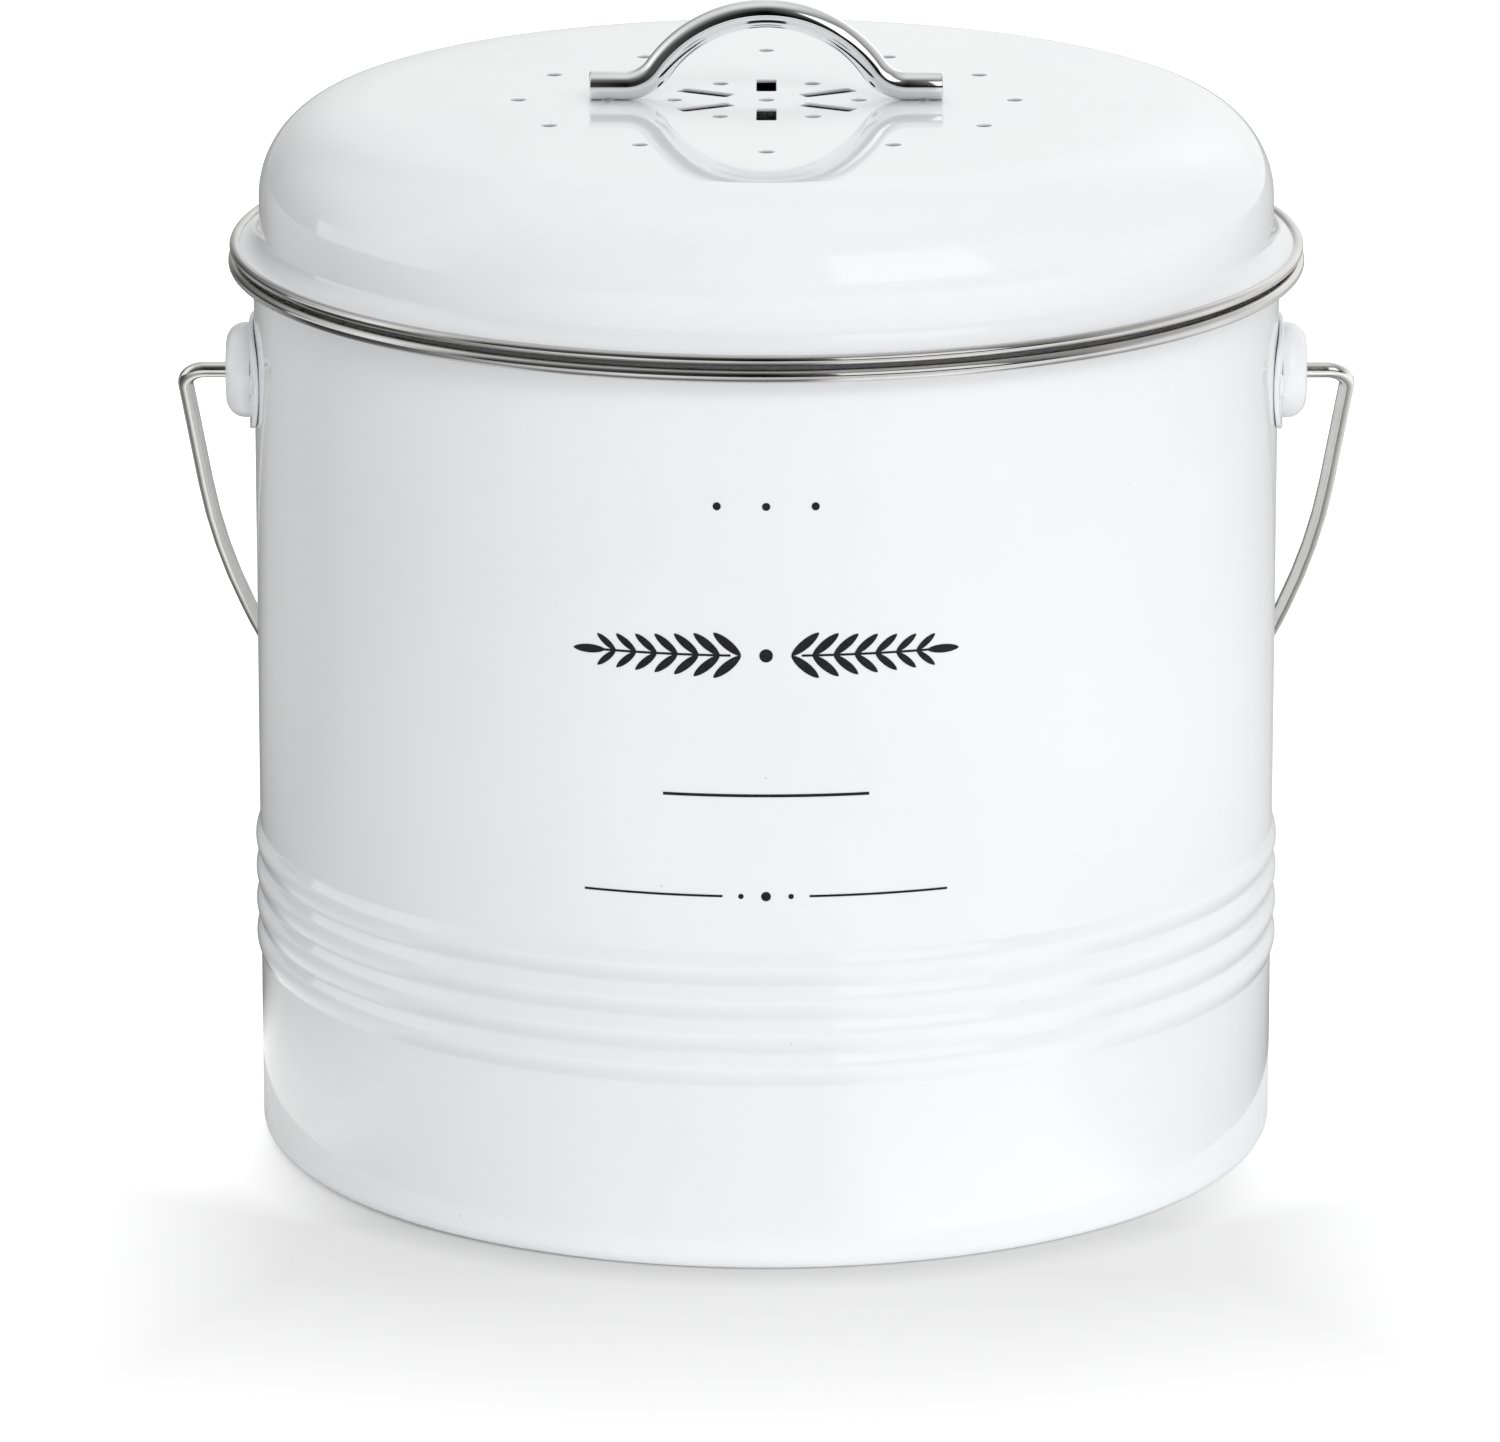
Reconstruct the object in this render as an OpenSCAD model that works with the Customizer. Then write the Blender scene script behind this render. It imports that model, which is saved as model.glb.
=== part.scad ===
// Compost caddy with a lift-off vented lid, a swinging wire bail and a charcoal filter.
// Millimetres, +Z up, the origin is on the floor at the axis of the bucket, the front is -Y.

/* [Bucket] */
// Outside radius of the straight bucket wall
body_r = 97.5; // [80:0.5:125]
// Height of the bucket, from the floor to the top of its rim bead
bucket_h = 172.8; // [140:1:240]
// Thickness of the bucket's sheet
wall_t = 1; // [0.8:0.1:1.4]
// Outside radius of the rolled edge at the bottom of the wall
hem_r = 3; // [2:0.5:3.5]
// Width of the flat ring that the bucket stands on
foot_w = 2.4; // [1:0.2:5]
// Height of the base pan's flange, which stands on the rolled edge inside the wall
pan_flange_h = 4; // [3.5:0.5:10]
// Outside radius of the corner of the base pan
pan_corner_r = 2.6; // [1.5:0.1:3.2]
// Gap between two sheets that lie on each other
sheet_gap = 0.05; // [0.02:0.01:0.1]

/* [Ribs] */
// Number of rolled ribs round the wall
rib_count = 4; // [1:1:6]
// Height of the middle of the band of ribs
rib_mid_z = 48.7; // [35:0.5:80]
// Distance from one rib to the next
rib_pitch = 6.45; // [5.8:0.05:9]
// Width of one rib
rib_w = 5.3; // [3:0.1:5.5]
// Height of one rib above the wall
rib_h = 0.7; // [0.3:0.1:1.2]

/* [Rims] */
// From the outside of the bucket's wall to the middle of both rim beads
bead_out = 3.45; // [3.3:0.05:6]
// Radius of the section of the bucket's bead
bucket_bead_r = 1.35; // [1.2:0.05:2]
// Radius of the section of the lid's bead
lid_bead_r = 1.1; // [1:0.05:2]
// How far a flange reaches past the middle of its bead
flange_grip = 0.3; // [0:0.1:0.6]
// Gap between the two beads when the lid is on
lid_seat_gap = 0.25; // [0.1:0.05:0.5]
// Radius under the flared edge of the bucket
flare_r = 2.5; // [1.5:0.1:2.7]

/* [Lid] */
// Thickness of the lid's sheet
lid_t = 0.8; // [0.6:0.1:1]
// How much smaller the radius of the dome's wall is than that of the bucket
dome_inset = 1.2; // [1:0.1:2]
// Height of the lid's flat top above the rim of the bucket
dome_h = 28.5; // [26:0.5:45]
// Distance from the dome's wall to the edge of its flat top
shoulder_reach = 22.8; // [19:0.2:28]
// Radius of the gentle curve that leaves the flat top
crown_r = 45.5; // [40:0.5:70]
// Radius of the shoulder
shoulder_r = 17.2; // [10:0.2:17.6]
// Radius between the dome's wall and its flange
root_r = 4; // [2:0.1:4.2]
// Height of the hoop that centres the lid in the bucket
skirt_h = 18; // [12:0.5:24]
// How far the hoop reaches into the bucket below the rim
skirt_drop = 8.5; // [5:0.5:11]
// Radius of the hoop's turned-in lower edge
skirt_curl_r = 1.8; // [1.4:0.1:3]

/* [Vents] */
// Number of slots round the middle of the lid
slot_count = 6; // [3:1:8]
// Radius at which a slot starts
slot_in_r = 7.9; // [6:0.1:10]
// Radius at which a slot ends
slot_out_r = 18.9; // [16:0.1:24]
// Width of a slot
slot_w = 3.7; // [2:0.1:3.9]
// Corner radius of a slot
slot_corner_r = 0.6; // [0.3:0.1:1]
// Radius of a small vent hole
hole_r = 1.45; // [0.8:0.05:2]
// Radius of the inner ring of holes, which lie between the slots
inner_ring_r = 17.5; // [14:0.1:24]
// Radius of the outer ring of holes
outer_ring_r = 47; // [40:0.5:52]
// Number of holes in the outer ring
outer_ring_count = 12; // [6:1:18]

/* [Lid handle] */
// Radius of the rod
rod_r = 2.7; // [2:0.1:3.5]
// Half of the handle's length
handle_half_l = 33.5; // [31:0.5:45]
// Radius of the arch, to the middle of the rod
arch_r = 25; // [23:0.5:28]
// Radius of the bend between the arch and a foot, to the middle of the rod
foot_bend_r = 7.6; // [6:0.2:9]
// Rise of the arch above the feet
arch_rise = 13.9; // [12:0.1:16]
// Chamfer on the ends of the rod
rod_chamfer = 0.4; // [0.2:0.1:1]
// Distance from the end of a foot to its screw
screw_inset = 3.6; // [3:0.1:4]
// Radius of the screw's shank
screw_r = 1.5; // [1:0.1:1.6]
// Depth of the screw in the foot
screw_depth = 3.4; // [2:0.1:3.6]
// Radius of the screw's head
screw_head_r = 2.8; // [2.4:0.1:3.2]
// Height of the screw's head
screw_head_h = 1.8; // [1.2:0.1:2.4]
// Radius of the washer
washer_r = 3.6; // [3.4:0.1:5]
// Thickness of the washer
washer_t = 0.6; // [0.4:0.1:1]
// Clearance of a shank in its hole
shank_gap = 0.05; // [0.02:0.01:0.1]

/* [Charcoal filter] */
// From the edge of the foam disc to the edge of the lid's flat middle
filter_inset = 9.5; // [9.5:0.5:15.5]
// Thickness of the foam disc
filter_t = 8; // [5:0.5:10]
// Gap between the screw heads and the foam disc
filter_gap = 0.4; // [0.2:0.1:2]
// Thickness of a clip's sheet
clip_t = 0.8; // [0.6:0.1:1]
// Width of a clip
clip_w = 12; // [8:0.5:18]
// Radius inside a clip's bends
clip_bend_r = 0.8; // [0.5:0.1:1.2]
// Length of the foot that is welded under the lid
clip_foot_l = 6; // [4:0.5:6.5]
// Length of the lip under the disc
clip_lip_l = 6; // [4:0.5:9]

/* [Ears] */
// Distance from the rim of the bucket down to the pivot of the bail
pivot_drop = 24; // [20:0.5:40]
// Thickness of the saddle plate
saddle_t = 0.9; // [0.7:0.1:1.2]
// Half of the saddle's length round the wall
saddle_half_l = 18; // [16:0.2:22]
// Radius of the saddle's ends, which is half of its height
saddle_end_r = 10.4; // [9.8:0.1:11]
// Radius of the domed cap
cap_r = 9.1; // [8:0.1:9.4]
// Distance from the wall to the flat face of the cap
cap_proud = 5.4; // [5:0.1:8]
// Radius of the cap's edge
cap_edge_r = 3.6; // [2:0.1:3.8]
// Thickness of the cap's sheet
cap_t = 1.1; // [0.8:0.1:1.4]
// Distance from the pivot to each rivet, measured along the saddle
rivet_reach = 13.5; // [13:0.1:15]
// Radius of the rivet's shank
rivet_r = 1.4; // [1:0.1:1.6]
// Radius of the rivet's head
rivet_head_r = 2.4; // [2.2:0.1:2.8]
// Height of the rivet's head
rivet_head_h = 0.8; // [0.5:0.1:1]

/* [Bail] */
// Radius of the wire
wire_r = 1.5; // [1.2:0.1:2]
// Running clearance of the wire in the hole of the cap
pin_gap = 0.08; // [0.05:0.01:0.1]
// Distance from the wall to the middle of the wire where it stands out furthest
bail_out = 13.4; // [12:0.2:20]
// Radius of the bend at the ear, to the middle of the wire
bail_bend_r = 4; // [3:0.2:5]
// Lean of the upper stretch of the leg
leg_lean = 4.5; // [2:0.5:6]
// Length of the upper stretch of the leg
leg_l = 45.8; // [30:0.5:60]
// Lean of the lower stretch of the leg
knee_lean = 14.5; // [10:0.5:18]
// Radius of the bend between the two stretches, to the middle of the wire
knee_r = 60; // [30:1:90]
// Length of the lower stretch of the leg
knee_l = 20.5; // [10:0.5:30]
// Gap between the bail at rest and the back of the bucket
bail_rest_gap = 0.3; // [0.2:0.1:1]
// Radius of the upset head at the end of the wire
upset_r = 2.8; // [2.2:0.1:4]
// Thickness of the upset head
upset_t = 1.1; // [0.8:0.1:1.2]

/* [Hidden] */

$fn = 120;
turn_fn = 180;
arc_steps = 10;
eps = 0.01;
past = 2;
joint_trim = 0.1;
joint_fat = 0.02;

enamel = "white";
steel = "silver";
foam = [0.08, 0.08, 0.08];

// Bucket
wall_in_r = body_r - wall_t;
foot_in_r = body_r - hem_r - foot_w;
pan_flange_r = wall_in_r - sheet_gap;
pan_low_z = hem_r + sheet_gap;
pan_lift = pan_low_z + pan_flange_h;
rib_r = (rib_w * rib_w / 4 + rib_h * rib_h) / (2 * rib_h);
rib_centre_r = body_r + rib_h - rib_r;
bead_r = body_r + bead_out;
bucket_bead_z = bucket_h - bucket_bead_r;
flare_z = bucket_bead_z - wall_t / 2 - flare_r;

// Lid
dome_r = body_r - dome_inset;
lid_top_z = bucket_h + dome_h;
lid_under_z = lid_top_z - lid_t;
lid_bead_z = bucket_h + lid_seat_gap + lid_bead_r;
lid_flange_z = lid_bead_z + lid_t / 2;
flat_r = dome_r - shoulder_reach;
filter_r = flat_r - filter_inset;
shoulder_in = shoulder_reach - shoulder_r;
shoulder_up = sqrt(pow(crown_r - shoulder_r, 2) - pow(shoulder_in, 2));
shoulder_z = lid_top_z - crown_r + shoulder_up;
crown_end = atan2(shoulder_up, shoulder_in);
root_z = lid_flange_z + root_r;
skirt_r = dome_r - lid_t - sheet_gap;
skirt_low_z = bucket_h - skirt_drop;

// Lid handle
rod_z = lid_top_z + rod_r + joint_fat;
arch_angle = acos(1 - arch_rise / (arch_r + foot_bend_r));
foot_x = (arch_r + foot_bend_r) * sin(arch_angle);
screw_x = handle_half_l - screw_inset;

// Charcoal filter
filter_top_z = lid_under_z - washer_t - screw_head_h - filter_gap;
filter_low_z = filter_top_z - filter_t;
clip_count = 4;
clip_first_angle = 45;
clip_side_gap = 0.1;
clip_leg_r = filter_r + clip_bend_r + clip_side_gap;

// Ears and bail
pivot_z = bucket_h - pivot_drop;
saddle_in_r = body_r + sheet_gap;
saddle_out_r = saddle_in_r + saddle_t;
cap_x = body_r + cap_proud;
cap_under_x = cap_x - cap_t;
rivet_angle = asin(rivet_reach / saddle_out_r);
rivet_tail_r = sqrt(pow(wall_in_r, 2) - pow(rivet_head_r, 2));
rivet_dome_r = (pow(rivet_head_r, 2) + pow(rivet_head_h, 2)) / (2 * rivet_head_h);
rivet_brim = atan2(rivet_dome_r - rivet_head_h, rivet_head_r);
upset_x = (saddle_out_r + cap_under_x - upset_t) / 2;
bend_x = body_r + bail_out - bail_bend_r;
leg_top = [bend_x + bail_bend_r * cos(leg_lean), -bail_bend_r * (1 + sin(leg_lean))];
leg_end = leg_top - leg_l * [sin(leg_lean), cos(leg_lean)];
knee_centre = leg_end - knee_r * [cos(leg_lean), -sin(leg_lean)];
knee_end = knee_centre + knee_r * [cos(knee_lean), -sin(knee_lean)];
loop_start = knee_end - knee_l * [sin(knee_lean), cos(knee_lean)];
loop_r = loop_start[0] / cos(knee_lean);
loop_y = loop_start[1] + loop_start[0] * tan(knee_lean);
bail_length = loop_r - loop_y;
bail_rest = asin((body_r + wire_r + bail_rest_gap) / bail_length);

// Points of an arc about centre c
function arc(c, r, from, to) =
    [for (i = [0:arc_steps]) let (a = from + (to - from) * i / arc_steps) c + r * [cos(a), sin(a)]];

function reversed(points) = [for (i = [len(points) - 1:-1:0]) points[i]];

// ---- Bucket ----

function wall_skin(inset) = concat(
    [[foot_in_r, inset]],
    arc([body_r - hem_r, hem_r], hem_r - inset, -90, 0),
    arc([body_r + flare_r, flare_z], flare_r + inset, 180, 90),
    [[bead_r + flange_grip, flare_z + flare_r + inset]]
);

module rib_circles(r) {
    for (i = [0:rib_count - 1])
        translate([rib_centre_r, rib_mid_z + (i - (rib_count - 1) / 2) * rib_pitch]) circle(r);
}

module wall_section() {
    difference() {
        union() {
            polygon(concat(wall_skin(0), reversed(wall_skin(wall_t))));
            intersection() {
                rib_circles(rib_r);
                translate([wall_in_r, hem_r]) square([wall_t + rib_h, flare_z - hem_r]);
            }
        }
        rib_circles(rib_r - wall_t);
    }
}

// The four shanks of the ears' rivets, made radius r
module rivet_shanks(r) {
    for (side = [0, 180], way = [-1, 1])
        rotate([0, 0, side + way * rivet_angle])
            translate([rivet_tail_r - past, 0, pivot_z])
                rotate([0, 90, 0]) cylinder(r = r, h = wall_t + saddle_t + 2 * past);
}

module bucket_wall() {
    color(enamel) difference() {
        rotate_extrude($fn = turn_fn) wall_section();
        rivet_shanks(rivet_r + shank_gap);
    }
}

function pan_skin(inset) = concat(
    [[0, pan_lift - inset]],
    arc([pan_flange_r - pan_corner_r, pan_lift - pan_corner_r], pan_corner_r - inset, 90, 0),
    [[pan_flange_r - inset, pan_low_z]]
);

module base_pan() {
    color(enamel) rotate_extrude($fn = turn_fn)
        polygon(concat(pan_skin(0), reversed(pan_skin(wall_t))));
}

module bucket_rim() {
    color(steel) rotate_extrude($fn = turn_fn) difference() {
        translate([bead_r, bucket_bead_z]) circle(bucket_bead_r);
        wall_section();
    }
}

// ---- Ears ----

// An ear is made on the right, at +X, and turned half round for the left
module ear_place(side) {
    rotate([0, 0, side]) translate([0, 0, pivot_z]) children();
}

module saddle_outline() {
    square([2 * (saddle_half_l - saddle_end_r), 2 * saddle_end_r], center = true);
    for (way = [-1, 1]) translate([way * (saddle_half_l - saddle_end_r), 0]) circle(saddle_end_r);
}

module ear_saddle(side) {
    color(enamel) difference() {
        ear_place(side) intersection() {
            rotate([90, 0, 90]) linear_extrude(saddle_out_r + past) saddle_outline();
            translate([0, 0, -saddle_end_r - past]) difference() {
                cylinder(r = saddle_out_r, h = 2 * (saddle_end_r + past), $fn = turn_fn);
                translate([0, 0, -eps])
                    cylinder(r = saddle_in_r, h = 2 * (saddle_end_r + past + eps), $fn = turn_fn);
            }
        }
        rivet_shanks(rivet_r + shank_gap);
    }
}

function cap_skin(inset) = concat(
    [[cap_r - inset, body_r - past]],
    arc([cap_r - cap_edge_r, cap_x - cap_edge_r], cap_edge_r - inset, 0, 90)
);

module ear_cap(side) {
    pin_hole_r = wire_r + pin_gap;
    color(enamel) ear_place(side) difference() {
        rotate([0, 90, 0]) rotate_extrude()
            polygon(concat(cap_skin(0), [[pin_hole_r, cap_x], [pin_hole_r, cap_under_x]],
                           reversed(cap_skin(cap_t))));
        translate([0, 0, -cap_r - past])
            cylinder(r = saddle_out_r + sheet_gap, h = 2 * (cap_r + past), $fn = turn_fn);
    }
}

module rivet() {
    rotate([0, 90, 0]) {
        translate([0, 0, rivet_tail_r]) cylinder(r = rivet_r, h = saddle_out_r - rivet_tail_r, $fn = 48);
        translate([0, 0, saddle_out_r]) rotate_extrude($fn = 48)
            polygon(concat([[0, 0]], arc([0, rivet_head_h - rivet_dome_r], rivet_dome_r, rivet_brim, 90)));
        translate([0, 0, rivet_tail_r - rivet_head_h])
            cylinder(r1 = rivet_r, r2 = rivet_head_r, h = rivet_head_h, $fn = 48);
    }
}

module ear_rivets(side) {
    color(enamel) ear_place(side)
        for (way = [-1, 1]) rotate([0, 0, way * rivet_angle]) rivet();
}

// ---- Bail ----

// Bars are drawn in the plane of the bail or the handle, and meet in balls that are a hair
// fatter: each bar stops a little short of its ends, inside the balls there.

// A round bar of radius r that turns about centre c
module bar_arc(c, turn_r, r, from, to) {
    trim = joint_trim / turn_r * 180 / PI;
    translate([c[0], c[1], 0]) rotate([0, 0, from + trim])
        rotate_extrude(angle = to - from - 2 * trim, $fn = turn_fn) translate([turn_r, 0]) circle(r, $fn = 48);
}

// A straight round bar of radius r from p, at angle a
module bar_line(p, l, r, a, first = joint_trim, last = joint_trim) {
    translate([p[0], p[1], 0]) rotate([0, 0, a]) rotate([0, 90, 0])
        translate([0, 0, first]) cylinder(r = r, h = l - first - last, $fn = 48);
}

// A ball at p, with its axis along the bars that meet in it, which run there at angle a
module bar_ball(p, r, a) {
    translate([p[0], p[1], 0]) rotate([0, 0, a]) rotate([0, 90, 0]) sphere(r + joint_fat, $fn = 48);
}

module bail_leg() {
    bar_line([upset_x, 0], upset_t, upset_r, 0, 0, 0);
    bar_line([upset_x, 0], bend_x - upset_x, wire_r, 0, 0, joint_trim);
    bar_ball([bend_x, 0], wire_r, 0);
    bar_arc([bend_x, -bail_bend_r], bail_bend_r, wire_r, -leg_lean, 90);
    bar_ball(leg_top, wire_r, -90 - leg_lean);
    bar_line(leg_top, leg_l, wire_r, -90 - leg_lean);
    bar_ball(leg_end, wire_r, -90 - leg_lean);
    bar_arc(knee_centre, knee_r, wire_r, -knee_lean, -leg_lean);
    bar_ball(knee_end, wire_r, -90 - knee_lean);
    bar_line(knee_end, knee_l, wire_r, -90 - knee_lean);
    bar_ball(loop_start, wire_r, -90 - knee_lean);
}

module bail() {
    color(steel) translate([0, 0, pivot_z]) rotate([90 + bail_rest, 0, 0]) {
        bail_leg();
        mirror([1, 0, 0]) bail_leg();
        bar_arc([0, loop_y], loop_r, wire_r, knee_lean - 180, -knee_lean);
    }
}

// ---- Lid ----

function lid_skin(inset) = concat(
    [[0, lid_top_z - inset]],
    arc([flat_r, lid_top_z - crown_r], crown_r - inset, 90, crown_end),
    arc([dome_r - shoulder_r, shoulder_z], shoulder_r - inset, crown_end, 0),
    arc([dome_r + root_r, root_z], root_r + inset, 180, 270),
    [[bead_r + flange_grip, lid_flange_z - inset]]
);

module lid_section() {
    polygon(concat(lid_skin(0), reversed(lid_skin(lid_t))));
}

module slot_outline() {
    l = slot_out_r - slot_in_r;
    translate([slot_in_r, -slot_w / 2]) {
        translate([slot_corner_r, 0]) square([l - 2 * slot_corner_r, slot_w]);
        translate([0, slot_corner_r]) square([l, slot_w - 2 * slot_corner_r]);
        for (x = [slot_corner_r, l - slot_corner_r], y = [slot_corner_r, slot_w - slot_corner_r])
            translate([x, y]) circle(slot_corner_r, $fn = 24);
    }
}

module vent_outlines() {
    slot_step = 360 / slot_count;
    circle(hole_r, $fn = 32);
    for (i = [0:slot_count - 1]) {
        rotate(90 + i * slot_step) slot_outline();
        rotate(90 + (i + 0.5) * slot_step) translate([inner_ring_r, 0]) circle(hole_r, $fn = 32);
    }
    for (i = [0:outer_ring_count - 1])
        rotate(i * 360 / outer_ring_count) translate([outer_ring_r, 0]) circle(hole_r, $fn = 32);
}

// Puts its children at both screws of the lid's handle
module at_screws(z) {
    for (x = [-screw_x, screw_x]) translate([x, 0, z]) children();
}

module lid_shell() {
    color(enamel) difference() {
        rotate_extrude($fn = turn_fn) lid_section();
        translate([0, 0, lid_under_z - past]) linear_extrude(lid_t + 2 * past) vent_outlines();
        at_screws(lid_under_z - past) cylinder(r = screw_r + shank_gap, h = lid_t + 2 * past, $fn = 48);
    }
}

module lid_rim() {
    color(steel) rotate_extrude($fn = turn_fn) difference() {
        translate([bead_r, lid_bead_z]) circle(lid_bead_r);
        lid_section();
    }
}

function skirt_skin(inset) = concat(
    [[skirt_r - skirt_curl_r - skirt_curl_r, skirt_low_z + inset]],
    arc([skirt_r - skirt_curl_r, skirt_low_z + skirt_curl_r], skirt_curl_r - inset, -90, 0),
    [[skirt_r - inset, skirt_low_z + skirt_h]]
);

module lid_skirt() {
    color(enamel) rotate_extrude($fn = turn_fn)
        polygon(concat(skirt_skin(0), reversed(skirt_skin(lid_t))));
}

// ---- Lid handle ----

// The straight end of a foot, round where it starts and chamfered where it ends
module foot_end(l, r) {
    rotate([0, 90, 0]) rotate_extrude($fn = 48) {
        intersection() {
            circle(r);
            translate([0, -r]) square(r);
        }
        square([r, l - rod_chamfer]);
        polygon([[0, l - rod_chamfer], [r, l - rod_chamfer], [r - rod_chamfer, l], [0, l]]);
    }
}

module handle_foot() {
    arch_end = arch_r * [sin(arch_angle), cos(arch_angle)] + [0, arch_rise - arch_r];
    bar_ball(arch_end, rod_r, -arch_angle);
    bar_arc([foot_x, foot_bend_r], foot_bend_r, rod_r, 270 - arch_angle, 270);
    translate([foot_x, 0, 0]) foot_end(handle_half_l - foot_x, rod_r + joint_fat);
}

module lid_handle() {
    color(steel) difference() {
        translate([0, 0, rod_z]) rotate([90, 0, 0]) {
            bar_arc([0, arch_rise - arch_r], arch_r, rod_r, 90 - arch_angle, 90 + arch_angle);
            handle_foot();
            mirror([1, 0, 0]) handle_foot();
        }
        at_screws(lid_top_z - past)
            cylinder(r = screw_r + shank_gap, h = past + screw_depth + shank_gap, $fn = 48);
    }
}

module handle_screws() {
    head_z = lid_under_z - washer_t - screw_head_h;
    color(steel) at_screws(head_z) {
        cylinder(r = screw_head_r, h = screw_head_h, $fn = 48);
        cylinder(r = screw_r, h = lid_top_z + screw_depth - head_z, $fn = 48);
    }
}

module handle_washers() {
    color(steel) at_screws(lid_under_z - washer_t) difference() {
        cylinder(r = washer_r, h = washer_t, $fn = 48);
        translate([0, 0, -eps]) cylinder(r = screw_r + shank_gap, h = washer_t + 2 * eps, $fn = 48);
    }
}

// ---- Charcoal filter ----

module clip_section() {
    top_c = [clip_leg_r + clip_t + clip_bend_r, lid_under_z - clip_t - clip_bend_r];
    low_c = [clip_leg_r - clip_bend_r, filter_low_z + clip_bend_r];
    wide_r = clip_bend_r + clip_t;
    lip_end = low_c[0] - clip_lip_l;
    foot_end = top_c[0] + clip_foot_l;
    polygon(concat(
        [[foot_end, lid_under_z], [foot_end, lid_under_z - clip_t]],
        arc(top_c, clip_bend_r, 90, 180),
        arc(low_c, wide_r, 0, -90),
        [[lip_end, filter_low_z - clip_t], [lip_end, filter_low_z]],
        arc(low_c, clip_bend_r, -90, 0),
        arc(top_c, wide_r, 180, 90)
    ));
}

module filter_clip(i) {
    color(enamel) rotate([0, 0, clip_first_angle + (i - 1) * 360 / clip_count])
        translate([0, clip_w / 2, 0]) rotate([90, 0, 0]) linear_extrude(clip_w) clip_section();
}

module charcoal_filter() {
    color(foam) translate([0, 0, filter_low_z]) cylinder(r = filter_r, h = filter_t);
}

bucket_wall();
base_pan();
bucket_rim();
ear_saddle(180);  // ear_saddle_left
ear_saddle(0);  // ear_saddle_right
ear_cap(180);  // ear_cap_left
ear_cap(0);  // ear_cap_right
ear_rivets(180);  // ear_rivets_left
ear_rivets(0);  // ear_rivets_right
bail();
lid_shell();
lid_rim();
lid_skirt();
lid_handle();
handle_screws();
handle_washers();
filter_clip(1);  // filter_clip_1
filter_clip(2);  // filter_clip_2
filter_clip(3);  // filter_clip_3
filter_clip(4);  // filter_clip_4
charcoal_filter();
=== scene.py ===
from math import asin, atan2, cos, degrees, pi, radians, sin, sqrt, tan
import bpy
import bmesh
from mathutils import Matrix, Vector


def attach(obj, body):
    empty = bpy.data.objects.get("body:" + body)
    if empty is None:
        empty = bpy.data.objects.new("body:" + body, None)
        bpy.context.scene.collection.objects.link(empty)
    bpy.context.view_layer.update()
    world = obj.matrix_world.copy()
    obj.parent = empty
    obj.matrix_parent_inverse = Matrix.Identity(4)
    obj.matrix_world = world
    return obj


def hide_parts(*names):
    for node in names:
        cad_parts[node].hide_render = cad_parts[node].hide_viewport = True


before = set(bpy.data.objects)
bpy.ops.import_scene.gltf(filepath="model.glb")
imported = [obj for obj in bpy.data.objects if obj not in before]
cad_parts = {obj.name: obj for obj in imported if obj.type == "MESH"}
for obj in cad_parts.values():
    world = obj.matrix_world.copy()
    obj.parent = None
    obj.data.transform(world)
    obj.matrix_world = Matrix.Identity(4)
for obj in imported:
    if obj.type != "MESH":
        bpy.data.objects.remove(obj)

# Compost caddy with a lift-off lid. Sizes in the dictionaries are in mm and angles in degrees, but what
# stands round the object is placed in m.
mm = 0.001
weld = 1e-7  # vertices nearer than this are one, in m
hair = 1e-6  # slack for telling whether a vertex lies at a height, in m
sharpTurn = 60  # edges that turn more than this are rolled over
scene = bpy.context.scene
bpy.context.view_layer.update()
print("frame loaded:", len(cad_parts), "nodes")


def arcPoints(centre, radius, start, end, steps):
    # (r, z) points on an arc, end points included
    turns = [radians(start + (end - start) * i / steps) for i in range(steps + 1)]
    return [(centre[0] + radius * cos(turn), centre[1] + radius * sin(turn)) for turn in turns]


def spin(outline, steps, closed=True):
    # a line of vertices in the X-Z plane, spun once round Z
    bm = bmesh.new()
    verts = [bm.verts.new((r * mm, 0, z * mm)) for r, z in outline]
    edges = [bm.edges.new(pair) for pair in zip(verts, verts[1:])]
    if closed:
        edges.append(bm.edges.new((verts[-1], verts[0])))
    bmesh.ops.spin(bm, geom=verts + edges, cent=(0, 0, 0), axis=(0, 0, 1), angle=2 * pi, steps=steps,
                   use_merge=True)
    bmesh.ops.remove_doubles(bm, verts=bm.verts, dist=weld)
    bmesh.ops.recalc_face_normals(bm, faces=bm.faces)
    return bm


def vertsIn(geometry):
    return [g for g in geometry if isinstance(g, bmesh.types.BMVert)]


def edgesIn(geometry):
    return [g for g in geometry if isinstance(g, bmesh.types.BMEdge)]


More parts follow.
